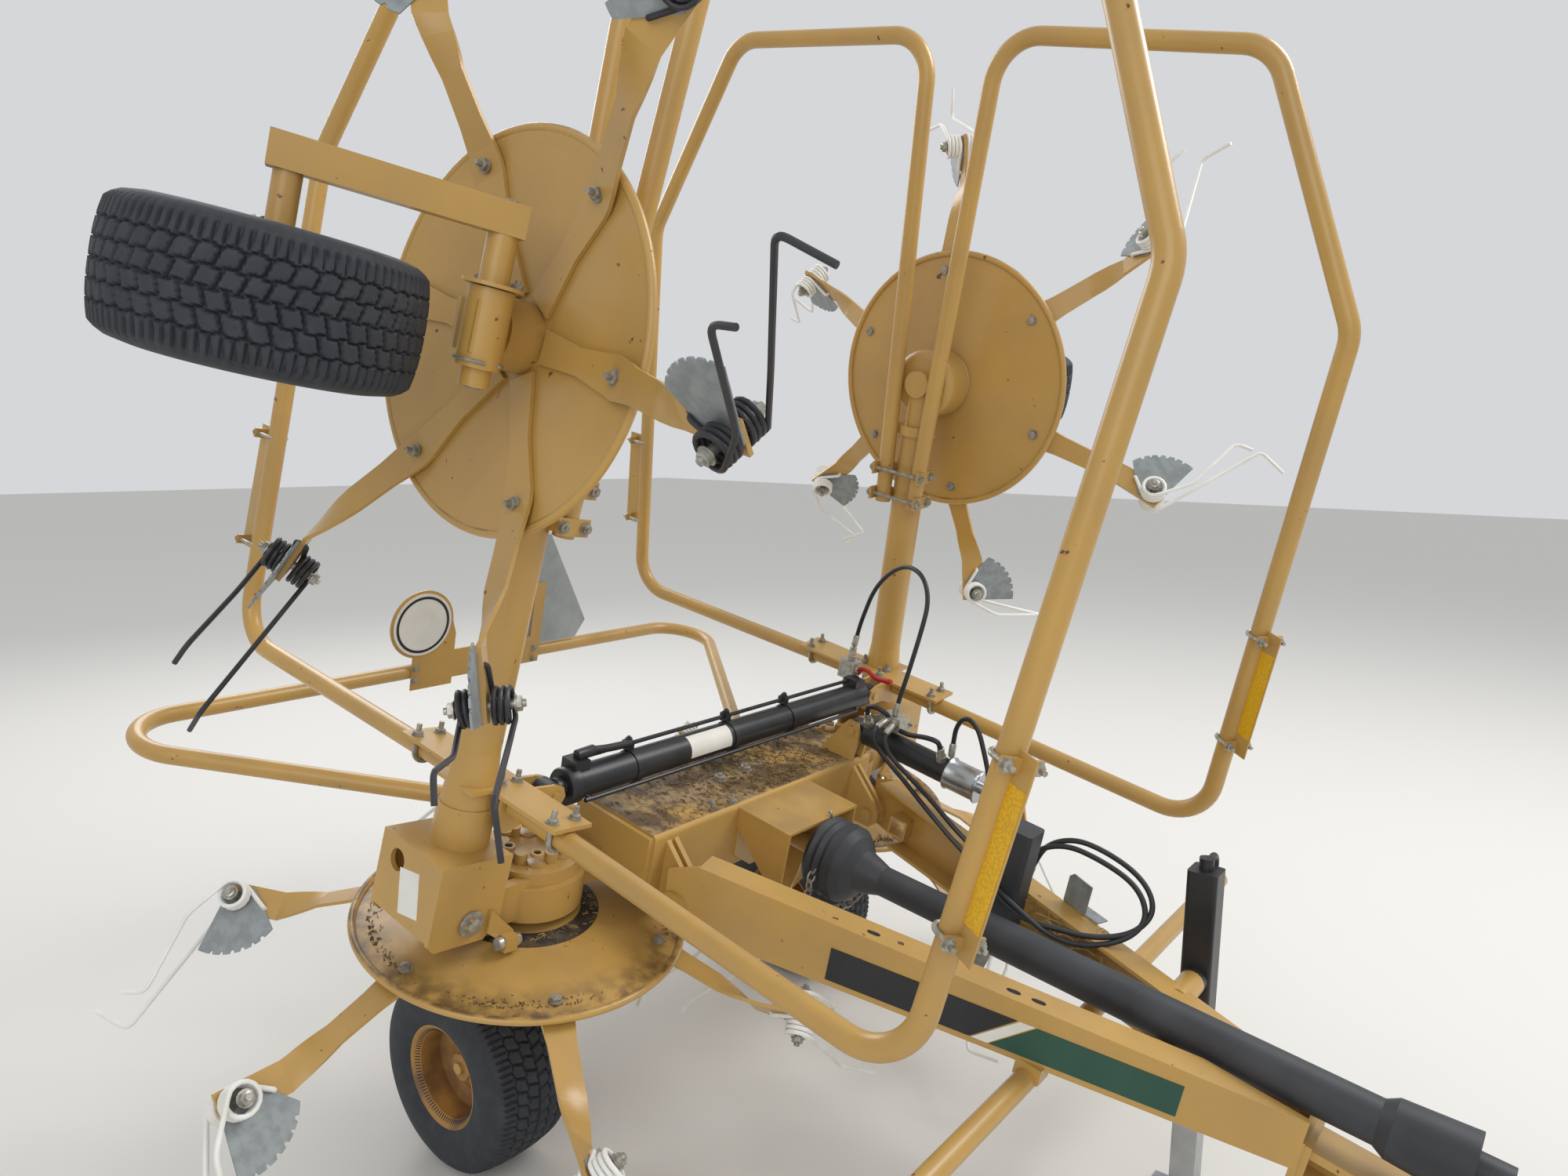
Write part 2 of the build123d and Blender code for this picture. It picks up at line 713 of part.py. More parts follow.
# Rear guard rail, one bent tube with a foot on the beam at each end
with BuildPart() as rail:
    with BuildLine() as rail_line:
        FilletPolyline(
            (beam_rear - 14, -rail_root, rail_z),
            (rail_x, -rail_y, rail_z),
            (rail_x, rail_y, rail_z),
            (beam_rear - 14, rail_root, rail_z),
            radius=rail_bend,
        )
    with BuildSketch(Plane(origin=rail_line.line @ 0, z_dir=rail_line.line % 0)):
        Circle(guard_radius)
    sweep(path=rail_line.line)
    for side in (-1, 1):
        with Locations((beam_rear - 10, side * rail_root, rail_z)):
            Box(20, 110, 80)
put(rail, "rear_rail", lean)

# Signs over the rail, both blank: a round speed plate and a wide triangle, on one bracket
sign_x = rail_x + guard_radius - 2
with BuildPart() as bracket:
    with BuildSketch(Plane.YZ.offset(sign_x)):
        with Locations(((speed_y + slow_y) / 2, rail_z + 15)):
            Rectangle(slow_y - speed_y + 40, 90)
        with Locations((speed_y, rail_z + 82)):
            Rectangle(34, 164)
        with Locations((slow_y, rail_z + 120)):
            Rectangle(40, 240)
    extrude(amount=6)
    with Locations(Location((rail_x, 0, rail_z), (90, 0, 0))):
        Cylinder(guard_radius, 600, mode=Mode.SUBTRACT)
put(bracket, "sign_bracket", lean)
with BuildPart() as speed_sign:
    with BuildSketch(Plane.YZ.offset(sign_x + 6)):
        with Locations((speed_y, rail_z + 154)):
            Circle(95)
    extrude(amount=3)
put(speed_sign, "speed_sign", lean)
with BuildPart() as slow_sign:
    with BuildSketch(Plane.YZ.offset(sign_x)):
        with Locations((slow_y, rail_z)):
            Polygon((-175, 31), (175, 31), (210, 89), (20, 399), (-20, 399), (-210, 89), align=None)
    extrude(amount=-3)
put(slow_sign, "slow_sign", lean)


def beam_side(side):
    """Plane down the outer face of a drawbar beam, x along it from the pins to the nose, y up."""
    run = Vector(draw_nose - pin_x, side * (draw_nose_y - draw_rear_y), 0).normalized()
    return Plane(origin=(pin_x, side * draw_rear_y, 0), x_dir=run, z_dir=run.cross(Vector(0, 0, 1)))


def draw_y(x):
    """How far the outer face of a drawbar beam lies from the centre line, at a distance ahead."""
    return draw_rear_y + (draw_nose_y - draw_rear_y) * (x - pin_x) / (draw_nose - pin_x)


# Drawbar: two folded channels that open inward and meet at the nose, with their pins, cross tubes and brackets
run_length = hypot(draw_nose - pin_x, draw_rear_y - draw_nose_y)
draw_low_rear = draw_top_rear - draw_deep_rear
draw_low_nose = draw_top_nose - draw_deep_nose
foot_in = draw_y(tilt_front[0]) - 9
foot_out = tilt_y + tilt_lug + lug_wall
stub_in = draw_y(jack_x * cos(radians(pitch)) - jack_z * sin(radians(pitch))) - 22
stub_out = jack_y - jack_tube / 2 - 20
with BuildPart() as drawbar:
    for side in (-1, 1):
        plane = beam_side(side)
        with BuildSketch(plane):
            Polygon(
                (-26, draw_top_rear - 30),
                (-20, pin_z - 34),
                (30, pin_z - 40),
                (110, draw_low_rear + 3),
                (run_length, draw_low_nose),
                (run_length, draw_top_nose),
                (42, draw_top_rear),
                align=None,
            )
        extrude(amount=side * draw_wall)
        with BuildSketch(plane):
            Polygon(
                (42, draw_top_rear),
                (run_length, draw_top_nose),
                (run_length, draw_top_nose - draw_wall),
                (46, draw_top_rear - draw_wall),
                align=None,
            )
            Polygon(
                (116, draw_low_rear + 3),
                (run_length, draw_low_nose),
                (run_length, draw_low_nose + draw_wall),
                (116, draw_low_rear + 3 + draw_wall),
                align=None,
            )
        extrude(amount=side * draw_flange)
        with Locations(Location((pin_x, side * (draw_rear_y - 28), pin_z), (90, 0, 0))):
            Cylinder(pin_radius, 84)
        with Locations(Location((pin_x, side * (draw_rear_y - 7), pin_z), (90, 0, 0))):
            Cylinder(30, 34)
    # room for the drive shaft between the channels' upper flanges
    with Locations((draw_nose - 130, 0, draw_top_nose)):
        Box(300, 96, 60, mode=Mode.SUBTRACT)
    with Locations((draw_nose - 2, 0, (nose_top + 645) / 2)):
        Box(12, 2 * draw_nose_y, nose_top - 645)
    with Locations((draw_nose - 260, 0, 712)):
        Box(44, 2 * draw_y(draw_nose - 260) - 10, 40)
    # front guard bar across under the channels
    with Locations(Location((cross_x, 0, cross_z), (90, 0, 0))):
        Cylinder(guard_radius, 2 * cross_half)
    for side in (-1, 1):
        with Locations((cross_x, side * (draw_y(cross_x) - 16), cross_z + cross_seat / 2)):
            Box(52, 46, cross_seat)
    # square socket through the left channel's web
    with Locations((socket_x, draw_y(socket_x), socket_z)):
        Box(socket_bore, 100, socket_bore, mode=Mode.SUBTRACT)
    with BuildSketch(Plane.XZ.offset(52 - draw_y(socket_x))):
        with Locations((socket_x, socket_z)):
            Rectangle(socket_bore + 10, socket_bore + 10)
            Rectangle(socket_bore, socket_bore, mode=Mode.SUBTRACT)
    extrude(amount=-60)
    # lugs for the tilt cylinder's front eye, on a foot on the left channel, with the pin's ends outside them
    with Locations((tilt_front[0], (foot_in + foot_out) / 2, 790)):
        Box(110, foot_out - foot_in, 30)
    for end in (-1, 1):
        with BuildSketch(Plane.XZ.offset(-tilt_y - end * tilt_lug)):
            Polygon(
                (tilt_front[0] - 55, 800),
                (tilt_front[0] - 26, tilt_front[1] + 4),
                (tilt_front[0] - 12, tilt_front[1] + 26),
                (tilt_front[0] + 16, tilt_front[1] + 26),
                (tilt_front[0] + 56, 830),
                (tilt_front[0] + 55, 800),
                align=None,
            )
        extrude(amount=-end * lug_wall)
        with BuildSketch(Plane.XZ.offset(-tilt_y - end * (tilt_lug + lug_wall))):
            with Locations(tilt_front):
                Circle(eye_pin)
        extrude(amount=-end * 6)
    # arm that carries the manual box
    with Locations((manual_x, draw_y(manual_x) - 57.5, 792)):
        Box(60, 72, 10)
    # stub for the jack's swivel
    with Locations(Location((0, 0, 0), (0, -pitch, 0)) * Location((jack_x, (stub_in + stub_out) / 2, jack_z), (90, 0, 0))):
        Cylinder(26, stub_out - stub_in)
        Cylinder(14 + pin_play, stub_out - stub_in, mode=Mode.SUBTRACT)
put(drawbar, "drawbar", lean)

# Hitch: a clevis bolted on the drawbar's nose, bored for the tractor's pin
with BuildPart() as hitch:
    with Locations((draw_nose + 10, 0, tongue_z)):
        Box(12, hitch_wide + 24, 92)
    for z in (tongue_z - hitch_gap / 2 - hitch_wall, tongue_z + hitch_gap / 2):
        with BuildSketch(Plane.XY.offset(z)):
            with Locations(((draw_nose + 12 + hitch_reach) / 2, 0)):
                Rectangle(hitch_reach - draw_nose - 12, hitch_wide)
            with Locations((hitch_reach, 0)):
                Circle(hitch_wide / 2)
                Circle(hitch_bore, mode=Mode.SUBTRACT)
        extrude(amount=hitch_wall)
    with Locations((draw_nose + 96, 0, tongue_z)):
        Box(160, 12, hitch_gap)
put(hitch, "hitch", lean)

# Black box for papers inside the left channel, hooked on its arm
with BuildPart() as manual_box:
    with Locations((manual_x, draw_y(manual_x) - 129.8, 852)):
        Box(110, 72, 226)
    fillet(manual_box.edges().filter_by(Axis.Z), 10)
put(manual_box, "manual_box", lean)

# Drive shaft: yoke, ribbed bellows and cone, inner and outer guard tube, and the front yoke's guard
with BuildPart() as shaft:
    with BuildSketch(Plane.XY):
        with BuildLine():
            Polyline(
                (62, 0),
                (62, 64),
                (8, 64),
                (8, 82),
                (20, bellows_radius),
                (30, 82),
                (42, bellows_radius),
                (52, 82),
                (64, bellows_radius),
                (86, bellows_radius - 2),
                (104, 74),
                (124, 50),
                (150, 42),
                (178, inner_tube),
                (362, inner_tube),
                (362, guard_tube),
                (1180, guard_tube),
                (1200, 52),
                (1320, 60),
                (1320, 30),
                (1372, 30),
                (1372, yoke_bore),
                (1324, yoke_bore),
                (1324, 0),
                close=True,
            )
        make_face()
    revolve(axis=Axis.X)
    for side in (-1, 1):
        with Locations((24, side * 32, 0)):
            Box(80, 12, 36)
    with Locations(Location((0, 0, 0), (90, 0, 0))):
        Cylinder(9 + pin_play, 100, mode=Mode.SUBTRACT)
put(shaft, "drive_shaft", lean * Location((joint_x, 0, joint_z), (0, -shaft_slope, 0)))

# Jack: square tube on its swivel pin, crank folded down beside it, and the sliding leg on its foot
jack_place = Location((frame_x + jack_x, frame_y + jack_y, 0))
jack_low = jack_z - jack_below
jack_top = jack_z + jack_above
with BuildPart() as jack_outer:
    with BuildSketch(Plane.XY.offset(jack_low)):
        RectangleRounded(jack_tube, jack_tube, 8)
        Rectangle(jack_tube - 2 * jack_wall, jack_tube - 2 * jack_wall, mode=Mode.SUBTRACT)
    extrude(amount=jack_above + jack_below - 8)
    with BuildSketch(Plane.XY.offset(jack_top - 8)):
        RectangleRounded(jack_tube, jack_tube, 8)
    extrude(amount=8)
    with Locations(Location((0, -jack_tube / 2 - 8, jack_z), (90, 0, 0))):
        Cylinder(26, 20)
    with Locations(Location((0, -jack_tube / 2 - 40, jack_z), (90, 0, 0))):
        Cylinder(14, 84)
    with Locations((0, 0, jack_top + 12)):
        Cylinder(15, 26)
    with BuildLine() as crank:
        FilletPolyline((0, 0, jack_top + 16), (0, 62, jack_top + 16), (0, 62, jack_top - 190), radius=20)
    with BuildSketch(Plane(origin=crank.line @ 0, z_dir=crank.line % 0)):
        Circle(7)
    sweep(path=crank.line)
    with Locations((0, 62, jack_top - 160)):
        Cylinder(16, 90)
put(jack_outer, "jack_tube", jack_place)
with BuildPart() as jack_inner:
    with BuildSketch(Plane.XY.offset(foot_thick - 2)):
        Rectangle(jack_leg, jack_leg)
    extrude(amount=498)
    with Locations((0, 0, foot_thick / 2)):
        Box(foot_long, foot_wide, foot_thick)
put(jack_inner, "jack_leg", jack_place)

# Fold cylinder, level between the wings' lugs: barrel on the left wing, rod towards the right one
fold_length = 2 * (hinge_y - fold_eye_in)
with BuildPart() as fold_body:
    with Locations(Location((0, 0, 0), (0, 90, 0))):
        Cylinder(eye_radius, 2 * fold_lug - 4)
    with BuildSketch(Plane.XZ.offset(18)):
        Circle(fold_rod)
    extrude(amount=30)
    with BuildSketch(Plane.XZ.offset(34)):
        Circle(fold_barrel)
    extrude(amount=fold_length - 84)
    with BuildSketch(Plane.XZ.offset(56)):
        Circle(fold_bore)
    extrude(amount=fold_length - 136, mode=Mode.SUBTRACT)
    with BuildSketch(Plane.XZ.offset(fold_length - 90)):
        Circle(fold_rod + seat_gap)
    extrude(amount=60, mode=Mode.SUBTRACT)
    with Locations(Location((0, 0, 0), (0, 90, 0))):
        Cylinder(eye_pin + pin_play, 60, mode=Mode.SUBTRACT)
fold_spot = lean * Location((fold_x, hinge_y - fold_eye_in, hinge_z + fold_eye_up))
put(fold_body, "fold_barrel", fold_spot)
with BuildPart() as fold_shaft:
    with BuildSketch(Plane.XZ.offset(70)):
        Circle(fold_rod)
    extrude(amount=fold_length - 70 - 10)
    with BuildSketch(Plane.XZ.offset(70)):
        Circle(fold_bore - seat_gap)
    extrude(amount=38)
    with Locations(Location((0, -fold_length, 0), (0, 90, 0))):
        Cylinder(eye_radius, 2 * fold_lug - 4)
        Cylinder(eye_pin + pin_play, 60, mode=Mode.SUBTRACT)
put(fold_shaft, "fold_rod", fold_spot)

# Tilt cylinder between the beam and the left drawbar channel
tilt_length = hypot(tilt_front[0] - tilt_rear[0], tilt_front[1] - tilt_rear[1])
tilt_angle = degrees(atan2(tilt_rear[1] - tilt_front[1], tilt_front[0] - tilt_rear[0]))
tilt_spot = lean * Location((tilt_rear[0], tilt_y, tilt_rear[1]), (0, tilt_angle, 0))
with BuildPart() as tilt_body:
    with Locations(Location((0, 0, 0), (90, 0, 0))):
        Cylinder(eye_radius, 2 * tilt_lug - 4)
    with BuildSketch(Plane.YZ.offset(16)):
        Circle(tilt_rod)
    extrude(amount=30)
    with BuildSketch(Plane.YZ.offset(34)):
        Circle(tilt_barrel)
    extrude(amount=254)
    with BuildSketch(Plane.YZ.offset(286)):
        Circle(tilt_barrel + 5)
    extrude(amount=86)
    with BuildSketch(Plane.YZ.offset(48)):
        Circle(tilt_bore)
    extrude(amount=300, mode=Mode.SUBTRACT)
    with BuildSketch(Plane.YZ.offset(340)):
        Circle(tilt_rod + seat_gap)
    extrude(amount=40, mode=Mode.SUBTRACT)
    with Locations(Location((0, 0, 0), (90, 0, 0))):
        Cylinder(eye_pin + pin_play, 60, mode=Mode.SUBTRACT)
put(tilt_body, "tilt_barrel", tilt_spot)
with BuildPart() as tilt_shaft:
    with BuildSketch(Plane.YZ.offset(120)):
        Circle(tilt_rod)
    extrude(amount=tilt_length - 130)
    with BuildSketch(Plane.YZ.offset(120)):
        Circle(tilt_bore - seat_gap)
    extrude(amount=30)
    with Locations(Location((tilt_length, 0, 0), (90, 0, 0))):
        Cylinder(eye_radius, 2 * tilt_lug - 4)
        Cylinder(eye_pin + pin_play, 60, mode=Mode.SUBTRACT)
put(tilt_shaft, "tilt_rod", tilt_spot)
print("drawbar, cylinders and jack")
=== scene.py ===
import bpy
import numpy as np
from mathutils import Matrix


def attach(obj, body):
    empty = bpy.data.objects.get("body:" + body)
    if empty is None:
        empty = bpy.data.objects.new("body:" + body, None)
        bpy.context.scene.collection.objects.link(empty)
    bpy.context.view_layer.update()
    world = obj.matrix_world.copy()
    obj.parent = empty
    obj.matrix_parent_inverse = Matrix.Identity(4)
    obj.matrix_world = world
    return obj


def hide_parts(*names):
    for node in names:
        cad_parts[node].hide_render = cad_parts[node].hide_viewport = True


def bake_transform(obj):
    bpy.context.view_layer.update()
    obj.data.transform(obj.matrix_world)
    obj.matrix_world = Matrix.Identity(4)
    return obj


# A four-rotor hay tedder parked with its wings up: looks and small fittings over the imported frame.
# Lengths in the tables are millimetres in the machine's leaning frame: x ahead, y left, z up from the floor.

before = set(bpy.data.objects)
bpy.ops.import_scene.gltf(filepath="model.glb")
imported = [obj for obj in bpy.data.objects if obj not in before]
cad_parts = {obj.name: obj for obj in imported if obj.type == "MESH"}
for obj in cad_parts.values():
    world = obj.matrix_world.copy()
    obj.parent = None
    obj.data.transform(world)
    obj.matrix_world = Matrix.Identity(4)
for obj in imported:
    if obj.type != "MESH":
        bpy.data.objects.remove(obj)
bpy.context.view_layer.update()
print("frame loaded")

stance = {"pitch": 11.8, "frameX": -549.4, "frameY": -15.4, "fold": 96.7, "hingeY": 770.0, "hingeZ": 715.0}
shafts = {"innerY": 553.5, "innerZ": 595.0, "outerU": 1092.0, "outerW": -120.0}
rotorPlan = {
    "right_inner": {"side": -1, "outer": False, "hand": 1, "phase": 34.0},
    "left_inner": {"side": 1, "outer": False, "hand": -1, "phase": 54.0},
    "right_outer": {"side": -1, "outer": True, "hand": -1, "phase": 4.5},
    "left_outer": {"side": 1, "outer": True, "hand": 1, "phase": 42.0},
}
for plan in rotorPlan.values():  # the side of the wheel on which its leg stands
    plan["out"] = plan["side"] if plan["outer"] else -plan["side"]
bothSides = {"right": -1, "left": 1}
xWay, yWay, zWay = np.eye(3)


def turnAbout(axis, a):  # right-handed turn by a degrees about axis 0, 1 or 2
    made = np.eye(3)
    i, j = (axis + 1) % 3, (axis + 2) % 3
    made[i, i] = made[j, j] = np.cos(np.radians(a))
    made[j, i] = np.sin(np.radians(a))
    made[i, j] = -made[j, i]
    return made


def unit(v):  # a vector, or each row of several, brought to length one
    return v / np.linalg.norm(v, axis=-1, keepdims=True)


def leanSpot(p):  # leaning frame, mm, to the part's frame, m
    p = np.asarray(p, float) @ turnAbout(1, stance["pitch"]).T
    return (p + [stance["frameX"], stance["frameY"], 0]) / 1000


def wingSpot(p, side):  # a wing at work, y outboard from its hinge pin and z up, folded into place
    p = np.asarray(p, float) * [1, side, 1]
    p = p @ turnAbout(0, side * stance["fold"]).T + [0, side * stance["hingeY"], stance["hingeZ"]]
    return leanSpot(p)


def rotorSpot(p, name):  # a rotor's own frame: z along its shaft, 0 at the rim plane
    side = rotorPlan[name]["side"]
    p = np.asarray(p, float)
    if rotorPlan[name]["outer"]:
        return wingSpot(p * [1, side, 1] + [0, shafts["outerU"], shafts["outerW"]], side)
    return leanSpot(p + [0, side * shafts["innerY"], shafts["innerZ"]])


def onWing(side):  # the function that puts a piece's points on that wing
    return lambda v: wingSpot(v, side)


def onRotor(name):  # the function that puts a piece's points on that rotor
    return lambda v: rotorSpot(v, name)


# surfaces

def gridFaces(rows, cols, closeRows, closeCols):
    # quads between neighbours of a rows x cols grid, wrapping round where it closes
    i = np.arange(rows if closeRows else rows - 1)
    j = np.arange(cols if closeCols else cols - 1)
    i, j = [a.ravel() for a in np.meshgrid(i, j, indexing="ij")]
    i2, j2 = (i + 1) % rows, (j + 1) % cols
    return np.stack([i * cols + j, i2 * cols + j, i2 * cols + j2, i * cols + j2], axis=1)


def tubeFaces(rings, sides):
    # quads between neighbouring rings, and a fan on each end whose middle point comes after all the rings
    n = rings * sides
    k = np.arange(sides)
    k2 = (k + 1) % sides
    first = np.stack([np.full(sides, n), k2, k], axis=1)
    last = np.stack([np.full(sides, n + 1), n - sides + k, n - sides + k2], axis=1)
    return [tuple(q) for q in (*gridFaces(rings, sides, False, True)[:, ::-1], *first, *last)]


def tubeAlong(path, radius, sides=8):
    # a circle carried along a path: point + radius (u cos a + v sin a), u and v square to the path
    path = np.asarray(path, float)
    radius = np.broadcast_to(np.asarray(radius, float), (len(path),))
    run = unit(np.gradient(path, axis=0))
    u = np.zeros_like(run)
    seed = np.eye(3)[np.argmin(np.abs(run[0]))]
    for k in range(len(path)):  # carry one side vector along, so the skin doesn't twist
        seed = u[k] = unit(seed - run[k] * (seed @ run[k]))
    v = np.cross(run, u)
    a = np.linspace(0, 2 * np.pi, sides, endpoint=False)[:, None]
    ring = path[:, None] + radius[:, None, None] * (u[:, None] * np.cos(a) + v[:, None] * np.sin(a))
    return np.vstack([ring.reshape(-1, 3), path[:1], path[-1:]]), tubeFaces(len(path), sides)


def lathe(profile, start, axis, sides=16, closed=False):
    # a profile (along, radius) turned round an axis: start + along * axis + radius (u cos a + v sin a)
    profile = np.asarray(profile, float)
    axis = unit(np.asarray(axis, float))
    u = np.eye(3)[np.argmin(np.abs(axis))]
    u = unit(u - axis * (u @ axis))
    v = np.cross(axis, u)
    a = np.linspace(0, 2 * np.pi, sides, endpoint=False)[:, None]
    around = u * np.cos(a) + v * np.sin(a)
    ring = np.asarray(start, float) + profile[:, 0, None, None] * axis + profile[:, 1, None, None] * around
    if closed:  # the profile is a loop that holds no axis point, so the ring needs no ends
        return ring.reshape(-1, 3), [tuple(q) for q in gridFaces(len(profile), sides, True, True)[:, ::-1]]
    ends = np.asarray(start, float) + profile[[0, -1], 0, None] * axis
    return np.vstack([ring.reshape(-1, 3), ends]), tubeFaces(len(profile), sides)


def slab(outline, thick, origin, along=xWay, up=yWay):
    # a flat outline (a, b) given thickness: origin + a * along + b * up, then thick along their cross product
    outline = np.asarray(outline, float)
    along, up = np.asarray(along, float), np.asarray(up, float)
    out = np.cross(along, up)
    flat = np.asarray(origin, float) + outline[:, :1] * along + outline[:, 1:] * up
    verts = np.vstack([flat, flat + out * thick])
    n = len(outline)
    k = np.arange(n)
    k2 = (k + 1) % n
    sides = np.stack([k, k2, k2 + n, k + n], axis=1)
    faces = [tuple(k[::-1]), tuple(k + n)] + [tuple(q) for q in sides]
    a, b = outline.T
    turned = (a * np.roll(b, -1) - b * np.roll(a, -1)).sum() * thick < 0
    return verts, [q[::-1] for q in faces] if turned else faces


def rectangle(a0, a1, b0, b1):  # four corners, from (a0, b0) by way of (a1, b0)
    return [(a0, b0), (a1, b0), (a1, b1), (a0, b1)]


def arc(radius, first, last, count):
    # points of a circle from one angle in degrees to another: (radius cos a, radius sin a)
    a = np.radians(np.linspace(first, last, count))
    return np.stack([radius * np.cos(a), radius * np.sin(a)], axis=1)


def boltHead(spot, axis, size, stud):
    # washer, hex head and stud end on one axis: rings of 12, 6 and 10 points with radius by height
    axis = unit(np.asarray(axis, float))
    washer = 2.2
    base = np.asarray(spot, float) + axis * washer
    made = [lathe([(0, size * 1.25), (washer, size * 1.25)], spot, axis, 12),
            lathe([(0, size), (size * 0.62, size), (size * 0.72, size * 0.82)], base, axis, 6)]
    if stud:
        made.append(lathe([(size * 0.7, size * 0.52), (size * 0.7 + stud, size * 0.5)], base, axis, 10))
    return made


def boltHeads(spots, axis, size, stud):  # the same bolt at each spot
    return [part for spot in spots for part in boltHead(spot, axis, size, stud)]


def smoothPath(points, steps=8):
    # Catmull-Rom curve: each piece is a cubic in t whose ends pass through two neighbouring points
    p = np.asarray(points, float)
    p = np.vstack([2 * p[0] - p[1], p, 2 * p[-1] - p[-2]])
    t = np.linspace(0, 1, steps, endpoint=False)[:, None]
    runs = []
    for a, b, c, d in zip(p[:-3], p[1:-2], p[2:-1], p[3:]):
        runs.append(0.5 * (2 * b + (c - a) * t + (2 * a - 5 * b + 4 * c - d) * t**2
                           + (3 * b - a - 3 * c + d) * t**3))
    return np.vstack(runs + [p[-2:-1]])


def addPiece(name, parts, material, body, smooth=True, place=leanSpot):
    # one mesh from several (verts, faces) parts, moved by place, on a body of the frame
    verts, faces, start = [], [], 0
    step = place(np.vstack([np.zeros(3), np.eye(3)]))
    mirrored = np.linalg.det(step[1:] - step[0]) < 0
    for v, f in parts:
        verts.append(place(v))
        faces += [tuple(int(i) + start for i in (q[::-1] if mirrored else q)) for q in f]
        start += len(v)
    mesh = bpy.data.meshes.new(name)
    mesh.from_pydata(np.vstack(verts).tolist(), [], faces)
    mesh.validate()
    if smooth:
        mesh.polygons.foreach_set("use_smooth", np.ones(len(mesh.polygons), dtype=bool))
        mesh.set_sharp_from_angle(angle=0.7)
    obj = bpy.data.objects.new(name, mesh)
    bpy.context.scene.collection.objects.link(obj)
    obj.data.materials.append(material)
    if body:
        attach(obj, body)
    return obj


# finishes

def linear(hexText):
    # sRGB hex to linear: ((c + 0.055) / 1.055) ^ 2.4 above 0.04045, c / 12.92 below
    c = np.array([int(hexText[i:i + 2], 16) for i in (1, 3, 5)]) / 255
    c = np.where(c > 0.04045, ((c + 0.055) / 1.055) ** 2.4, c / 12.92)
    return (*[float(x) for x in c], 1.0)


def addNode(tree, kind, settings, inputs, output):
    # one node: its settings, each input set to a value or linked from a socket, and the output asked for
    node = tree.nodes.new(kind)
    for key, value in settings.items():
        setattr(node, key, value)
    for key, value in inputs.items():
        if isinstance(value, bpy.types.NodeSocket):
            tree.links.new(value, node.inputs[key])
        else:
            node.inputs[key].default_value = value
    return node.outputs[output]


def startMaterial(name, rough, metallic=0.0):
    # a material with its shader's constants set, and the point that its patterns read
    material = bpy.data.materials.new(name)
    material.use_nodes = True
    tree = material.node_tree
    shader = tree.nodes["Principled BSDF"]
    shader.inputs["Roughness"].default_value = rough
    shader.inputs["Metallic"].default_value = metallic
    return material, tree, shader, addNode(tree, "ShaderNodeTexCoord", {}, {}, "Object")


def patches(tree, place, scale, low, high, detail=6.0):
    # noise in patches of 1000 / scale mm, spread from 0 at low to 1 at high
    noise = addNode(tree, "ShaderNodeTexNoise", {}, {"Vector": place, "Scale": scale, "Detail": detail}, 0)
    spread = {"Value": noise, "From Min": low, "From Max": high}
    return addNode(tree, "ShaderNodeMapRange", {}, spread, "Result")


def upFacing(tree, low, high):
    # how far a face looks up: 0 at low, 1 at high, from the normal's z
    normal = addNode(tree, "ShaderNodeNewGeometry", {}, {}, "Normal")
    z = addNode(tree, "ShaderNodeSeparateXYZ", {}, {"Vector": normal}, "Z")
    spread = {"Value": z, "From Min": low, "From Max": high}
    return addNode(tree, "ShaderNodeMapRange", {}, spread, "Result")


def paintOver(tree, colour, coats):
    # coats over a colour, one after another: each shows its tone by the product of its shares, from 0 to 1
    for tone, share, *others in coats:
        for other in others:
            share = addNode(tree, "ShaderNodeMath", {"operation": "MULTIPLY"}, {0: share, 1: other}, 0)
        mix = {0: share, 6: colour, 7: linear(tone)}
        colour = addNode(tree, "ShaderNodeMix", {"data_type": "RGBA"}, mix, 2)
    return colour


paintWear = {"gold": "#BF974D", "faded": "#AF8B4F", "dust": "#83693F", "grime": "#54402A", "rust": "#5E3A22",
             "chips": 0.7, "rough": 0.33, "stainFrom": 0.25, "stainTo": 0.33}
beamDirt = (
    # packed chaff in three layers: patches per metre, low, high, tone, share
    (5.0, 0.4, 0.55, "#8F7C62", 0.75), (11.0, 0.46, 0.56, "#5B4630", 0.9), (60.0, 0.5, 0.6, "#3F3022", 0.55))


def ochreEnamel(name, dirtyTop=0.3, centre=None):
    # sprayed machinery enamel: even ochre gold with a soft gloss, faded in broad patches, dusty on top and
    # chipped to rust in specks; on a disc a chaff stain grows towards the rolled rim
    material, tree, shader, place = startMaterial(name, paintWear["rough"])
    dust = patches(tree, place, 9.0, 0.3, 0.75, 8.0)
    coats = [(paintWear["faded"], patches(tree, place, 3.5, 0.35, 0.7)),
             (paintWear["dust"], dust, upFacing(tree, 0.35, 0.95), dirtyTop)]
    if centre is not None:
        ends = {0: place, 1: tuple(centre)}
        away = addNode(tree, "ShaderNodeVectorMath", {"operation": "DISTANCE"}, ends, "Value")
        spread = {"Value": away, "From Min": paintWear["stainFrom"], "From Max": paintWear["stainTo"]}
        ring = addNode(tree, "ShaderNodeMapRange", {}, spread, "Result")
        stain = patches(tree, place, 26.0, 0.38, 0.58, 9.0)
        coats.append((paintWear["grime"], ring, stain, 0.85, upFacing(tree, 0.5, 0.9)))
    chips = patches(tree, place, 42.0, paintWear["chips"], paintWear["chips"] + 0.03, 10.0)
    coats.append((paintWear["rust"], chips))
    tree.links.new(paintOver(tree, linear(paintWear["gold"]), coats), shader.inputs["Base Color"])
    shader.inputs["Coat Weight"].default_value = 0.15
    shader.inputs["Coat Roughness"].default_value = 0.3
    return material


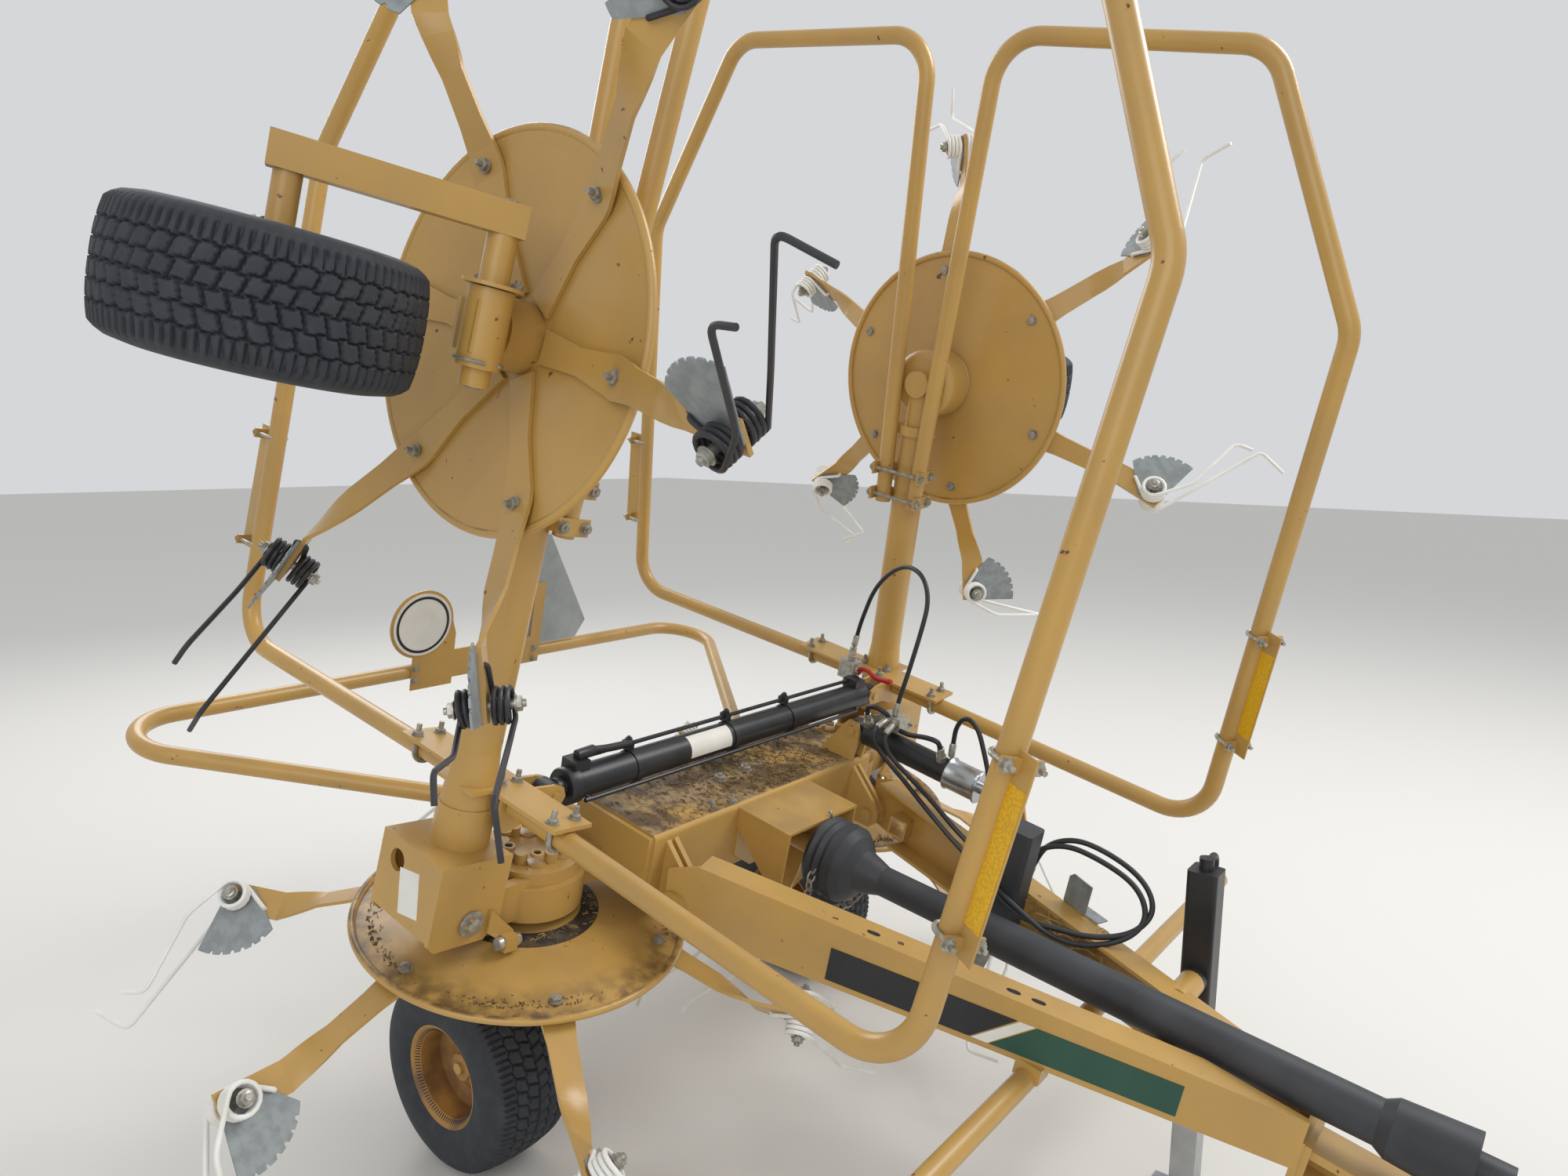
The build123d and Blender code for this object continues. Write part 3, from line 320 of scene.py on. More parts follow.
def beamTopEnamel(name):
    # the same enamel under packed chaff and dust: brown, matt and blotched from above, gold on its sides
    material, tree, shader, place = startMaterial(name, 0.6)
    top = upFacing(tree, 0.8, 0.95)
    coats = [(paintWear["faded"], patches(tree, place, 3.5, 0.35, 0.7))]
    for scale, low, high, tone, share in beamDirt:
        coats.append((tone, patches(tree, place, scale, low, high, 10.0), top, share))
    tree.links.new(paintOver(tree, linear(paintWear["gold"]), coats), shader.inputs["Base Color"])
    return material


def plainFinish(name, first, second, rough, metallic=0.0, scale=12.0, low=0.35, high=0.7):
    # a finish of two near colours in soft patches, 83 mm wide unless a scale is given
    material, tree, shader, place = startMaterial(name, rough, metallic)
    colour = paintOver(tree, linear(first), [(second, patches(tree, place, scale, low, high))])
    tree.links.new(colour, shader.inputs["Base Color"])
    return material


enamel = ochreEnamel("ochreEnamel")
enamelTop = ochreEnamel("ochreEnamelDirtyTop", 0.7)  # pieces on which hay dust lies
enamelBeam = beamTopEnamel("ochreEnamelUnderChaff")
discFinish = {}
for name in rotorPlan:
    middle = rotorSpot([(0, 0, 20)], name)[0]
    discFinish[f"disc_{name}"] = ochreEnamel(f"ochreEnamelDisc_{name}", 0.45, middle)
# powder coat on wire: even, bright and half glossy
tineWhite = plainFinish("whitePowderCoatSpringSteel", "#EDEDE9", "#DBD9D0", 0.4)
tineBlack = plainFinish("blackPaintSpringSteel", "#26262A", "#343438", 0.45)
# hot-dip zinc: dull grey flakes of 22 mm; plated bolts: brighter, turning brown in spots of 12 mm
galvanised = plainFinish("galvanisedSheet", "#959B9C", "#868C8D", 0.5, 0.35, 45.0, 0.4, 0.6)
zincBolt = plainFinish("zincPlatedBolts", "#B9B7AE", "#8F8B7E", 0.38, 0.7, 80.0)
dullBolt = plainFinish("weatheredZincBolts", "#A9A498", "#7F7666", 0.5, 0.35, 80.0)
plated = plainFinish("bareRodSteel", "#B9BCBE", "#9A9D9F", 0.28, 0.9)  # ground rods that mirror the sky
# black parts: paint shines most, hose rubber less, and moulded plastic is greyed by the sun
blackPaint = plainFinish("blackCylinderPaint", "#1D1E21", "#2B2C2E", 0.38)
blackPlastic = plainFinish("blackShaftGuardPlastic", "#2A2C30", "#3A3C40", 0.55, 0.0, 9.0)
rubberHose = plainFinish("hydraulicHoseRubber", "#1B1C1E", "#26272A", 0.5)
tyreRubber = plainFinish("turfTyreRubber", "#2B2E34", "#373A3F", 0.7, 0.0, 30.0, 0.45, 0.75)  # matt, dusty
# painted, printed and laminated sheets: flat colours with hardly any shade between their patches
signWhite = plainFinish("whiteSignSheet", "#DCDAD2", "#CFCDC4", 0.45)
signBlack = plainFinish("blackSignInk", "#1A1A1C", "#222224", 0.5)
signGrey = plainFinish("bareSignSheet", "#A4AAAC", "#8F9699", 0.5, 0.3)
labelWhite = plainFinish("blankWhiteLabel", "#E6E4DC", "#D8D5CB", 0.5)
stripeBlack = plainFinish("blackStripeFilm", "#1B1C1F", "#242528", 0.45)
stripeGreen = plainFinish("darkGreenStripeFilm", "#1E4A3C", "#23503F", 0.45)
stripeWhite = plainFinish("whiteStripeFilm", "#E4E2DA", "#D6D3C8", 0.45)
# reflective sheet: sharp cells of 3.8 mm, about as fine as the render shows
amberStrip = plainFinish("amberReflectiveStrip", "#E2B21C", "#D39F14", 0.35, 0.0, 260.0, 0.49, 0.51)
redPaint = plainFinish("redValveLever", "#B32018", "#8F1A14", 0.4)
# hay and chaff, and a painted shade ring round the gearboxes' feet: matt, with a change of tone every 20 to
# 33 mm
straw = plainFinish("dryHayStalks", "#A58A4E", "#7C6638", 0.8, 0.0, 50.0)
darkChaff = plainFinish("dampChaff", "#4E3C28", "#6B5535", 0.9, 0.0, 50.0)
# painted shade: the dark ring round each inner gearbox's foot stands for the shadow on the hub
paintedHubShade = plainFinish("paintedHubShadeRing", "#2B2622", "#4F4230", 0.5, 0.0, 30.0, 0.45, 0.6)
# painted shade: dark plugs and sheets that stand for the unlit inside of holes and slots
paintedHoleShade = plainFinish("paintedShadeInHoles", "#14120F", "#1B1814", 0.8)  # the black inside of a hole
wheelEnamel = plainFinish("dustyWheelEnamel", "#AD8040", "#7A5732", 0.5, 0.0, 9.0, 0.42, 0.62)  # soiled

nodeFinish = {
    "tyre": tyreRubber, "rim": wheelEnamel, "arms": enamel, "tines": tineWhite,
    "main_beam": enamelBeam, "shaft_box": enamelTop, "manual_box": blackPlastic, "drive_shaft": blackPlastic,
    "jack_tube": blackPaint, "jack_leg": plated, "fold_barrel": blackPaint, "tilt_barrel": blackPaint,
    "fold_rod": plated, "tilt_rod": plated, "speed_sign": signWhite, "slow_sign": signGrey,
}
for nodeName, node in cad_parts.items():
    finish = next((m for key, m in nodeFinish.items() if nodeName.startswith(key)), enamel)
    finish = discFinish.get(nodeName, finish)
    node.data.materials.clear()
    node.data.materials.append(finish)
print("finishes set")

# tyres

tyre = {"radius": 220.0, "crown": 7.8, "treadHalf": 82.0, "shoulder": 0.68, "grooveDeep": 6.5,
        "grooves": (-0.66, -0.33, 0.0, 0.33, 0.66), "blocks": 46, "around": 460}
wheelPlace = {"x": -50.0, "offset": 35.0, "z": 214.3 - shafts["innerZ"]}


def zigzag(x):  # 1 at whole numbers, 0 halfway between them
    return np.abs(x % 1 - 0.5) * 2


def tyreSurface():
    # radius by (turn, across): a round section less grooves, zigzag ones at fixed places across and slanted
    # cross grooves that repeat 46 times round; their depth falls to nothing on the sidewall
    wall = np.array([(-82, 102.4), (-92, 112), (-100, 130), (-102.5, 150), (-101, 172), (-96, 194),
                     (-90, 204), (-84.5, 210), (-82, 212.2)])
    s = np.linspace(-1, 1, 56)[1:-1]
    tread = np.stack([s * tyre["treadHalf"], tyre["radius"] - tyre["crown"] * np.abs(s) ** 2.6], axis=1)
    section = np.vstack([wall, tread, wall[::-1] * [-1, 1]])
    a = np.linspace(0, 2 * np.pi, tyre["around"], endpoint=False)
    turn, across = np.meshgrid(a, section[:, 0] / tyre["treadHalf"], indexing="ij")
    step = turn * tyre["blocks"] / (2 * np.pi)
    shift = 0.06 * (zigzag(step) - 0.5)
    groove = np.zeros_like(turn)
    for line in tyre["grooves"]:
        groove = np.maximum(groove, np.clip(1.5 - np.abs(across - line - shift) / 0.02, 0, 1))
    far = np.abs(across)
    row = np.floor((across + 1.0) / 0.33)
    inside = np.clip((zigzag(step + 0.5 * row + 0.9 * far) - 0.8) / 0.1, 0, 1) * (far < tyre["shoulder"])
    outside = np.clip((zigzag(2 * step + 0.3 * far) - 0.62) / 0.14, 0, 1) * (far >= tyre["shoulder"]) * 0.75
    groove = np.maximum(groove, np.maximum(inside, outside))
    edge = np.clip((1.06 - far) / 0.06, 0, 1)
    radius = section[:, 1][None] - tyre["grooveDeep"] * groove * edge
    width = np.broadcast_to(section[:, 0][None], radius.shape)
    verts = np.stack([radius * np.sin(turn), width, radius * np.cos(turn)], axis=2).reshape(-1, 3)
    return verts, [tuple(q) for q in gridFaces(tyre["around"], len(section), True, True)]


tyreParts = [tyreSurface()]
for name, plan in rotorPlan.items():
    spot = np.array([wheelPlace["x"], -plan["out"] * wheelPlace["offset"], wheelPlace["z"]])
    place = lambda v: rotorSpot(v + spot, name)
    piece = addPiece(f"treadedTyre_{name}", tyreParts, tyreRubber, f"wheel_{name}", place=place)
    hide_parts(f"tyre_{name}")
print("tyres")

# tines: each a plate, two bolts and one wire with two coils of a little over three turns and a leg from each

tine = {"plate": 126.0, "plateThick": 3.5, "wire": 4.75, "coil": 27.25, "centre": 628.0, "drop": 100.0,
        "tilt": 44.0, "legAngle": 30.0, "bridgeAngle": 124.8, "turned": 1080.0, "bolt": 12.5,
        "shortLeg": ((70, -60), (84, -224), (128, -232)), "longLeg": ((60, -90), (128, -295), (208, -273)),
        "coilEnds": (45.0, 12.5, -9.0, -41.5)}


def roundCorner(points, radius, steps=6):
    # points with each corner replaced by a quadratic curve that starts and ends a radius from it
    p = np.asarray(points, float)
    made = [p[:1]]
    t = np.linspace(0, 1, steps)[:, None]
    for a, b, c in zip(p[:-2], p[1:-1], p[2:]):
        s = b + unit(a - b) * radius
        e = b + unit(c - b) * radius
        made.append(s * (1 - t) ** 2 + b * 2 * t * (1 - t) + e * t**2)
    return np.vstack(made + [p[-1:]])


def coilRun(first, last, yFirst, yLast, steps=52):
    # helix: (radius cos a, y, radius sin a), with a from first to last and y even between its ends
    x, z = arc(tine["coil"], first, last, steps).T
    return np.stack([x, np.linspace(yFirst, yLast, steps), z], axis=1)


def tineWire():
    # short leg, its coil, the bridge under the bolt, the other coil and the long leg, as one row of points
    low, high, turned = tine["legAngle"], tine["bridgeAngle"], tine["turned"]
    y0, y1, y2, y3 = tine["coilEnds"]
    start = arc(tine["coil"], low, low, 1)[0]
    shortLeg = roundCorner([(x, y0, z) for x, z in (start, *tine["shortLeg"])], 18)
    longLeg = roundCorner([(x, y3, z) for x, z in (start, *tine["longLeg"])], 18)
    firstCoil = coilRun(low, high + turned, y0, y1)
    secondCoil = coilRun(high, low - turned, y2, y3)
    bridge = roundCorner([(-15.5, y1, 22.4), (-66, y1, -12), (-66, y2, -12), (-15.5, y2, 22.4)], 9)
    return np.vstack([shortLeg[::-1], firstCoil[1:-1], bridge, secondCoil[1:-1], longLeg])


def notchedPlate():
    # fan-shaped outline: a straight edge beside the coil and an arc with seven shallow square notches
    share = np.linspace(0, 1, 64)
    notch = (np.sin(share * 7.6 * 2 * np.pi) > 0.55) * (share > 0.1) * (share < 0.93)
    r = (tine["plate"] - 7 * notch) * (1.0 - 0.12 * share)
    return slab([(26, 6), *arc(r, 286, 206, 64), (-30, 24)], -tine["plateThick"], (0, 4.2, 0), xWay, zWay)


def onSixArms(parts, plan):
    # parts in a tine's own frame, tilted, set out on an arm and turned to each of the six places
    spin = turnAbout(0, plan["hand"] * tine["tilt"])
    turns = [turnAbout(2, plan["phase"] + 60 * k) for k in range(6)]
    out = [tine["centre"], 0, -tine["drop"]]
    return [((v @ spin.T + out) @ turn.T, f) for turn in turns for v, f in parts]


wire = [tubeAlong(tineWire(), tine["wire"], 8)]
plate = [notchedPlate()]
bolt = [*boltHead((0, 48, 0), yWay, tine["bolt"], 6), *boltHead((0, -45, 0), -yWay, tine["bolt"], 6),
        lathe([(-44, 8.5), (47, 8.5)], (0, 0, 0), yWay, 12)]
for name, plan in rotorPlan.items():
    place, body = onRotor(name), f"rotor_{name}"
    finish = tineBlack if name == "right_outer" else tineWhite
    piece = addPiece(f"springTines_{name}", onSixArms(wire, plan), finish, body, place=place)
    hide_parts(f"tines_{name}")
    addPiece(f"notchedPlates_{name}", onSixArms(plate, plan), galvanised, body, False, place)
    addPiece(f"tineBolts_{name}", onSixArms(bolt, plan), zincBolt, body, place=place)
print("tines")

# hoses

hose = {"radius": 6.0}
hoseRoutes = {
    # points of each hose in the leaning frame, from its fitting to its far end
    "liftHose": [
        (4, 540, 1052), (8, 538, 1090), (18, 530, 1140), (58, 500, 1255), (150, 455, 1345),
        (240, 410, 1352), (292, 380, 1300), (305, 350, 1221), (302, 334, 1102), (296, 330, 1040),
        (294, 330, 996)],
    "drawbarHoseNear": [
        (286, 306, 984), (284, 268, 972), (286, 258, 945), (305, 268, 918), (340, 276, 893),
        (385, 274, 872), (440, 262, 850), (552, 200, 838), (646, 130, 846), (747, 78, 838),
        (825, 72, 812), (898, 76, 789), (952, 100, 786), (1001, 140, 800), (1035, 172, 826),
        (1045, 200, 859), (1023, 220, 890), (982, 230, 912), (910, 230, 924), (842, 216, 930),
        (790, 196, 905), (770, 186, 860), (764, 180, 822)],
    "drawbarHoseFar": [
        (308, 306, 980), (310, 270, 962), (322, 264, 936), (345, 270, 912), (385, 274, 893),
        (435, 268, 875), (490, 252, 862), (575, 212, 846), (660, 146, 858), (755, 76, 822),
        (835, 72, 795), (905, 88, 806), (960, 116, 805), (1010, 156, 816), (1040, 186, 838),
        (1052, 214, 872), (1030, 236, 902), (985, 246, 926), (915, 246, 940), (850, 232, 944),
        (800, 212, 915), (784, 204, 866), (780, 198, 822)],
    "tiltHose": [
        (464, 345, 950), (462, 344, 985), (460, 342, 1030), (480, 338, 1066), (520, 332, 1056),
        (556, 326, 1000), (586, 318, 950), (600, 300, 900), (604, 284, 850), (606, 272, 812)],
}
blendSpan = {
    # where a hose was to stop following its first body and fully follow the second one; moved into the part's
    # frame but not used
    "liftHose": ((25, 524, 1160), (300, 345, 1140)),
    "drawbarHoseNear": ((300, 268, 935), (454, 260, 848)),
    "drawbarHoseFar": ((320, 268, 940), (485, 254, 862)),
}


def splinePath(points):
    # the smooth spline that has the points as its controls, read back as a row of points
    data = bpy.data.curves.new("route", "CURVE")
    data.dimensions, data.resolution_u = "3D", 8
    spline = data.splines.new("NURBS")
    spline.points.add(len(points) - 1)
    spline.points.foreach_set("co", np.column_stack([points, np.ones(len(points))]).ravel())
    spline.order_u, spline.use_endpoint_u = 3, True
    route = bpy.data.objects.new("route", data)
    mesh = bpy.data.meshes.new_from_object(route)
    path = np.empty(len(mesh.vertices) * 3)
    mesh.vertices.foreach_get("co", path)
    bpy.data.objects.remove(route)
    bpy.data.meshes.remove(mesh)
    return path.reshape(-1, 3)


def crimp(spot, way):
    # plated sleeve and hex nut on a hose's end: rings of radius by distance along the hose
    sleeve = lathe([(0, 5), (2, 8.6), (30, 8.6), (34, 7.2), (36, 6.2)], spot, way, 12)
    return [sleeve, lathe([(-16, 9.4), (-3, 9.4), (0, 6)], spot, way, 6)]


def layHose(name, body, firstBody=None):
    # a hose and its two fittings on one body; with a first body its first fitting goes there and the hose is
    # left on no body, baked where it lies
    route = np.array(hoseRoutes[name], float)
    path = splinePath(leanSpot(route))
    tube = tubeAlong(path, hose["radius"] / 1000, 10)
    piece = addPiece(name, [tube], rubberHose, None if firstBody else body, True, lambda v: v)
    if firstBody:
        start, end = leanSpot(blendSpan[name])
        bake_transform(piece)
    ends = crimp(route[0], route[1] - route[0])
    first = addPiece(f"{name}Fitting", ends, zincBolt, firstBody or body)
    ends = crimp(route[-1], route[-2] - route[-1])
    second = addPiece(f"{name}EndFitting", ends, zincBolt, body)


layHose("liftHose", "frame", "wing_left")
layHose("drawbarHoseNear", "drawbar", "frame")
layHose("drawbarHoseFar", "drawbar", "frame")
layHose("tiltHose", "drawbar")
print("hoses")

# bolts on the beam, gearboxes, discs and hinges

beam = {"top": 835.0, "large": ((2, -108), (7, -17), (93, -78), (90, 20)),
        "small": ((164, -184), (186, -137))}
parts = boltHeads([(x, y, beam["top"]) for x, y in beam["large"]], zWay, 13.0, 5)
parts += boltHeads([(x, y, beam["top"]) for x, y in beam["small"]], zWay, 8.0, 3)
addPiece("beamBolts", parts, dullBolt, "frame")

studs = {"ring": 62.0, "count": 6, "top": 782.0, "base": 760.0}
rims, socketShades, washers = [], [], []
for side in bothSides.values():
    for x, y in arc(studs["ring"], 30, 330, studs["count"]):
        spot = np.array([x, side * shafts["innerY"] + y, 0])
        top = spot + [0, 0, studs["top"]]
        rims.append(lathe([(-3, 14.4), (3.4, 14.4), (4.2, 13.6), (4.2, 8.6), (0.4, 8.2)], top, zWay, 16))
        # painted shade: a dark plug in each stud's socket for the shaded hole
        socketShades.append(lathe([(0.5, 8.1), (0.9, 8.1)], top, zWay, 6))
        washers.append(lathe([(0, 20), (3, 20), (3.4, 19)], spot + [0, 0, studs["base"]], zWay, 18))
addPiece("gearboxStudRims", rims, enamel, "frame")
addPiece("gearboxStudSocketShade", socketShades, paintedHoleShade, "frame")
addPiece("gearboxStudWashers", washers, enamelTop, "frame")

discBolt = {"radius": 297.0, "above": 8.8, "below": -9.0, "size": 11.0}
for name, plan in rotorPlan.items():
    parts = []
    for x, y in arc(discBolt["radius"], plan["phase"], plan["phase"] + 300, 6):
        parts += boltHead((x, y, discBolt["above"]), zWay, discBolt["size"], 0)
        parts += boltHead((x, y, discBolt["below"]), -zWay, discBolt["size"], 12)
    addPiece(f"discBolts_{name}", parts, dullBolt, f"rotor_{name}", place=onRotor(name))

hinge = {"pinEnd": 114.0, "washer": 27.0, "hex": 17.0, "stopX": 97.0, "stopU": -56.0, "stopW": 92.0}
for word, side in bothSides.items():
    place, body = onWing(side), f"wing_{word}"
    parts = []
    for end in (-1, 1):
        spot = (end * hinge["pinEnd"], 0, 0)
        washer = [(-18, 24), (-14, hinge["washer"]), (-11, hinge["washer"]), (-10.4, 25)]
        parts.append(lathe(washer, spot, end * xWay, 24))
        parts.append(lathe([(-11, hinge["hex"]), (0.5, hinge["hex"]), (2.5, 14)], spot, end * xWay, 6))
    spot = np.array([hinge["stopX"] + 15, hinge["stopU"], hinge["stopW"]])
    lug = [(18, -75), (18, -40), (-50, 20), (-50, -30)]
    stop = [slab(rectangle(-15, 15, -15, 15), 30, spot - [0, 0, 15]),
            slab(lug, 8, (hinge["stopX"] + 7, 0, hinge["stopW"]), zWay, yWay)]
    for way in (-1, 1):
        parts.append(lathe([(15, 14), (20, 14), (27, 12.5), (28, 9)], spot, way * zWay, 12))
    addPiece(f"hingePinNuts_{word}", parts, zincBolt, body, place=place)
    addPiece(f"wingStop_{word}", stop, enamel, body, False, place)
print("bolts")

# guard clamps: bent rods over each tube with nuts on the plate

clamp = {"x": 216.0, "rod": 5.5, "bend": 27.0, "plateU": 256.0, "tubeU": 226.0, "tubeW": 62.0, "nut": 10.5}
seats = {"u": (780.0, 852.0), "w": (35.0, 89.0), "plateX": 72.0, "thick": 6.0, "wide": 34.0, "boltX": 75.0}


def bentRod(middle, across, up, reach, radius, rod):
    # half circle round a tube, then two straight legs: radius * (across cos a - up sin a), legs along up
    a = np.radians(np.linspace(0, 180, 15))
    across, up = np.asarray(across, float), np.asarray(up, float)
    bow = radius * (np.cos(a)[:, None] * across - np.sin(a)[:, None] * up)
    legs = [radius * across + reach * up], [-radius * across + reach * up]
    return tubeAlong(np.vstack([legs[0], bow, legs[1]]) + middle, rod, 8)


for word, side in bothSides.items():
    rods, nuts = [], []
    for end in (-1, 1):
        middle = np.array([end * clamp["x"], clamp["tubeU"] - 3, clamp["tubeW"]])
        rods.append(bentRod(middle, zWay, yWay, 58, clamp["bend"], clamp["rod"]))
        for leg in (-1, 1):
            spot = (end * clamp["x"], clamp["plateU"], clamp["tubeW"] + leg * clamp["bend"])
            nuts += boltHead(spot, yWay, clamp["nut"], 0)
            spot = (end * 40, clamp["plateU"], clamp["tubeW"] + 10 + leg * 20)
            nuts += boltHead(spot, yWay, clamp["nut"], 14)
    addPiece(f"guardBentRods_{word}", rods, zincBolt, f"wing_{word}", place=onWing(side))
    addPiece(f"guardNuts_{word}", nuts, dullBolt, f"wing_{word}", place=onWing(side))

# cheek plates and cross bolts on the seats under the guards' outer ends
for word, side in bothSides.items():
    parts, plates = [], []
    for u in seats["u"]:
        for way in (-1, 1):
            corner = (way * seats["plateX"] - seats["thick"] / 2, u - seats["wide"] / 2, 24)
            plates.append(slab(rectangle(0, seats["thick"], 0, seats["wide"]), 76, corner))
        for w in seats["w"]:
            parts.append(lathe([(-88, 5), (88, 5)], (0, u, w), xWay, 10))
            for way in (-1, 1):
                parts += boltHead((way * seats["boltX"], u, w), way * xWay, clamp["nut"], 0)
    addPiece(f"clampPlates_{word}", plates, enamel, f"wing_{word}", False, onWing(side))
    addPiece(f"clampBolts_{word}", parts, dullBolt, f"wing_{word}", place=onWing(side))
print("clamps")

# reflective strips ahead of the guards' outer legs, each on a plate held by two bent rods; bare at the rear

strip = {"long": 212.0, "gap": 15.0, "wide": 42.0, "thick": 3.0, "film": 0.6, "up": 371.0, "margin": 48.0,
         "saddle": 27.0, "saddleThick": 5.0, "rodAt": 28.0, "bend": 26.0, "turned": 31.0}
guardLegs = {"front": ((993.0, 206.0), (1018.0, 1390.0), 1),
             "rear": ((-1018.0, 206.0), (-1018.0, 1390.0), -1)}

for word, side in bothSides.items():
    place, body = onWing(side), f"wing_{word}"
    for end, (low, high, way) in guardLegs.items():
        run = unit(np.subtract(high, low))
        along = np.array([run[0], run[1], 0])
        ahead = way * np.cross(along, zWay)
        lean = np.radians(side * strip["turned"]) if end == "front" else 0.0
        out = np.cos(lean) * ahead + np.sin(lean) * zWay
        facing = np.cos(lean) * zWay - np.sin(lean) * ahead
        middle = np.array([*(low + run * strip["up"]), clamp["tubeW"]])
        half = strip["long"] / 2
        reach = half + strip["margin"]
        inner, outer = strip["gap"], strip["gap"] + strip["wide"]
        back = middle - facing * strip["thick"] / 2
        shape = rectangle(-reach, reach, inner - 2, outer + 5)
        plates = [slab(shape, -way * strip["thick"], back, along, out)]
        skins = []
        for face in (-1, 1):
            spot = middle + facing * face * strip["thick"] / 2
            shape = rectangle(-half, half, inner + 2, outer + 2)
            skins.append(slab(shape, -way * face * strip["film"], spot, along, out))
        rods, nuts = [], []
        for leg in (-1, 1):
            spot = middle + along * leg * (half + strip["rodAt"])
            saddle = spot + out * strip["saddle"]
            shape = rectangle(-11, 11, -35, 35)
            plates.append(slab(shape, strip["saddleThick"], saddle, along, way * facing))
            rods.append(bentRod(spot, facing, out, 50, strip["bend"], 4.5))
            for hand in (-1, 1):
                nut = saddle + out * strip["saddleThick"] + facing * hand * strip["bend"]
                nuts += boltHead(nut, out, 9.0, 0)
        addPiece(f"stripPlate_{word}_{end}", plates, enamel, body, False, place)
        if end == "front":
            addPiece(f"stripFilm_{word}_{end}", skins, amberStrip, body, False, place)
        addPiece(f"stripRods_{word}_{end}", rods, zincBolt, body, place=place)
        addPiece(f"stripNuts_{word}_{end}", nuts, zincBolt, body, place=place)
print("strips")

# blank films and labels

drawbar = {"pinX": 275.0, "rearY": 392.0, "noseX": 1450.0, "noseY": 60.0}
beamStart = np.array([drawbar["pinX"], -drawbar["rearY"], 0])
beamRun = unit(np.array([drawbar["noseX"] - drawbar["pinX"], drawbar["rearY"] - drawbar["noseY"], 0]))
filmLine = {"start": 110, "height": 678, "rise": 0.0216, "thick": 1.6}
films = {
    # outline in distance along the right beam from its pins and height above the films' lower line
    "darkFilm": ([(349, 0), (645, 0), (722, 67), (349, 71)], stripeBlack),
    "paleWedgeFilm": ([(649, 0), (680, 0), (756, 67), (727, 67)], stripeWhite),
    "greenFilm": ([(684, 0), (1022, 0), (1022, 63), (760, 66)], stripeGreen),
}
for name, (outline, finish) in films.items():
    outline = [(s, filmLine["height"] + filmLine["rise"] * (s - filmLine["start"]) + h) for s, h in outline]
    skin = slab(outline, filmLine["thick"], beamStart, beamRun, zWay)
    addPiece(name, [skin], finish, "drawbar", False)
label = slab(rectangle(-30, 30, -44, 44), -0.6, (12, 40, -88), *turnAbout(2, 12).T[:2])
addPiece("hingeBoxLabel", [label], labelWhite, "wing_right", False, onWing(-1))
foldTube = {"x": 50.0, "z": 920.0, "radius": 35.0, "labelY": -45.0, "labelLong": 140.0}
skin = [arc(foldTube["radius"] + lift, -12, 80, 12) for lift in (0.7, -0.5)]
outline = np.vstack([skin[0], skin[1][::-1]])
label = slab(outline, foldTube["labelLong"], (foldTube["x"], foldTube["labelY"], foldTube["z"]), xWay, zWay)
addPiece("cylinderLabel", [label], labelWhite, "fold_barrel")
print("films")

# speed sign's dark ring and backing

sign = {"x": -1025.8, "y": -155.0, "z": 862.0, "ringOut": 87.0, "ringIn": 79.0, "backRadius": 104.0}
ring = rectangle(9.0, 9.6, sign["ringOut"], sign["ringIn"])
ring = lathe(ring, (sign["x"] - 6, sign["y"], sign["z"]), xWay, 72, closed=True)
addPiece("signRing", [ring], signBlack, "frame")
outline = np.vstack([arc(sign["backRadius"], 0, 257, 40), (-23, -205), (118, -205), (118, -40)])
back = slab(outline, 2.8, (sign["x"] - 3, sign["y"], sign["z"]), yWay, zWay)
addPiece("signBacking", [back], enamel, "frame", False)
parts = boltHeads([(sign["x"], y, z) for y in (-166, 268) for z in (726, 690)], xWay, 8.0, 5)
addPiece("signBolts", parts, dullBolt, "frame")
print("signs")

# fittings of the wing cylinder: thin pipes beside the barrel, bands, port blocks, a stop valve and its lever

pipes = {"radius": 5.0, "bands": (-345.0, -22.0, 205.0), "bandX": 33.0, "bandZ": 953.0, "bandTall": 20.0}
upper = smoothPath([(34, -500, 950), (33, -488, 962), (33, -460, 965), (33, 0, 965), (33, 440, 965),
                    (33, 492, 962), (36, 504, 950)])
lower = smoothPath([(76, -498, 905), (84, -486, 897), (86, -460, 895), (86, 0, 895), (86, 440, 895),
                    (84, 486, 897), (76, 500, 905)])
parts = [tubeAlong(upper, pipes["radius"]), tubeAlong(lower, pipes["radius"])]
addPiece("cylinderPipes", parts, blackPaint, "fold_barrel")
bands, bandBolts = [], []
for y in pipes["bands"]:
    ring = rectangle(-9, 9, foldTube["radius"] + 2.4, foldTube["radius"] + 0.2)
    bands.append(lathe(ring, (foldTube["x"], y, foldTube["z"]), yWay, 32, closed=True))
    bands.append(slab(rectangle(-11, 11, -9, 9), pipes["bandTall"], (pipes["bandX"], y, pipes["bandZ"])))
    bandBolts += boltHead((pipes["bandX"], y, pipes["bandZ"] + pipes["bandTall"]), zWay, 8.0, 3)
addPiece("cylinderBands", bands, blackPaint, "fold_barrel")
addPiece("cylinderBandBolts", bandBolts, blackPaint, "fold_barrel")
ports = [slab(rectangle(-22, 22, -20, 20), 26, (44, y, 948)) for y in (-502, 512)]
ports.append(lathe([(0, 38), (3, 40), (30, 40), (33, 37)], (foldTube["x"], -540, foldTube["z"]), yWay, 32))
addPiece("cylinderPorts", ports, blackPaint, "fold_barrel")
shortHose = smoothPath([(44, -500, 978), (46, -470, 984), (46, -420, 978), (42, -360, 972), (36, -340, 968)])
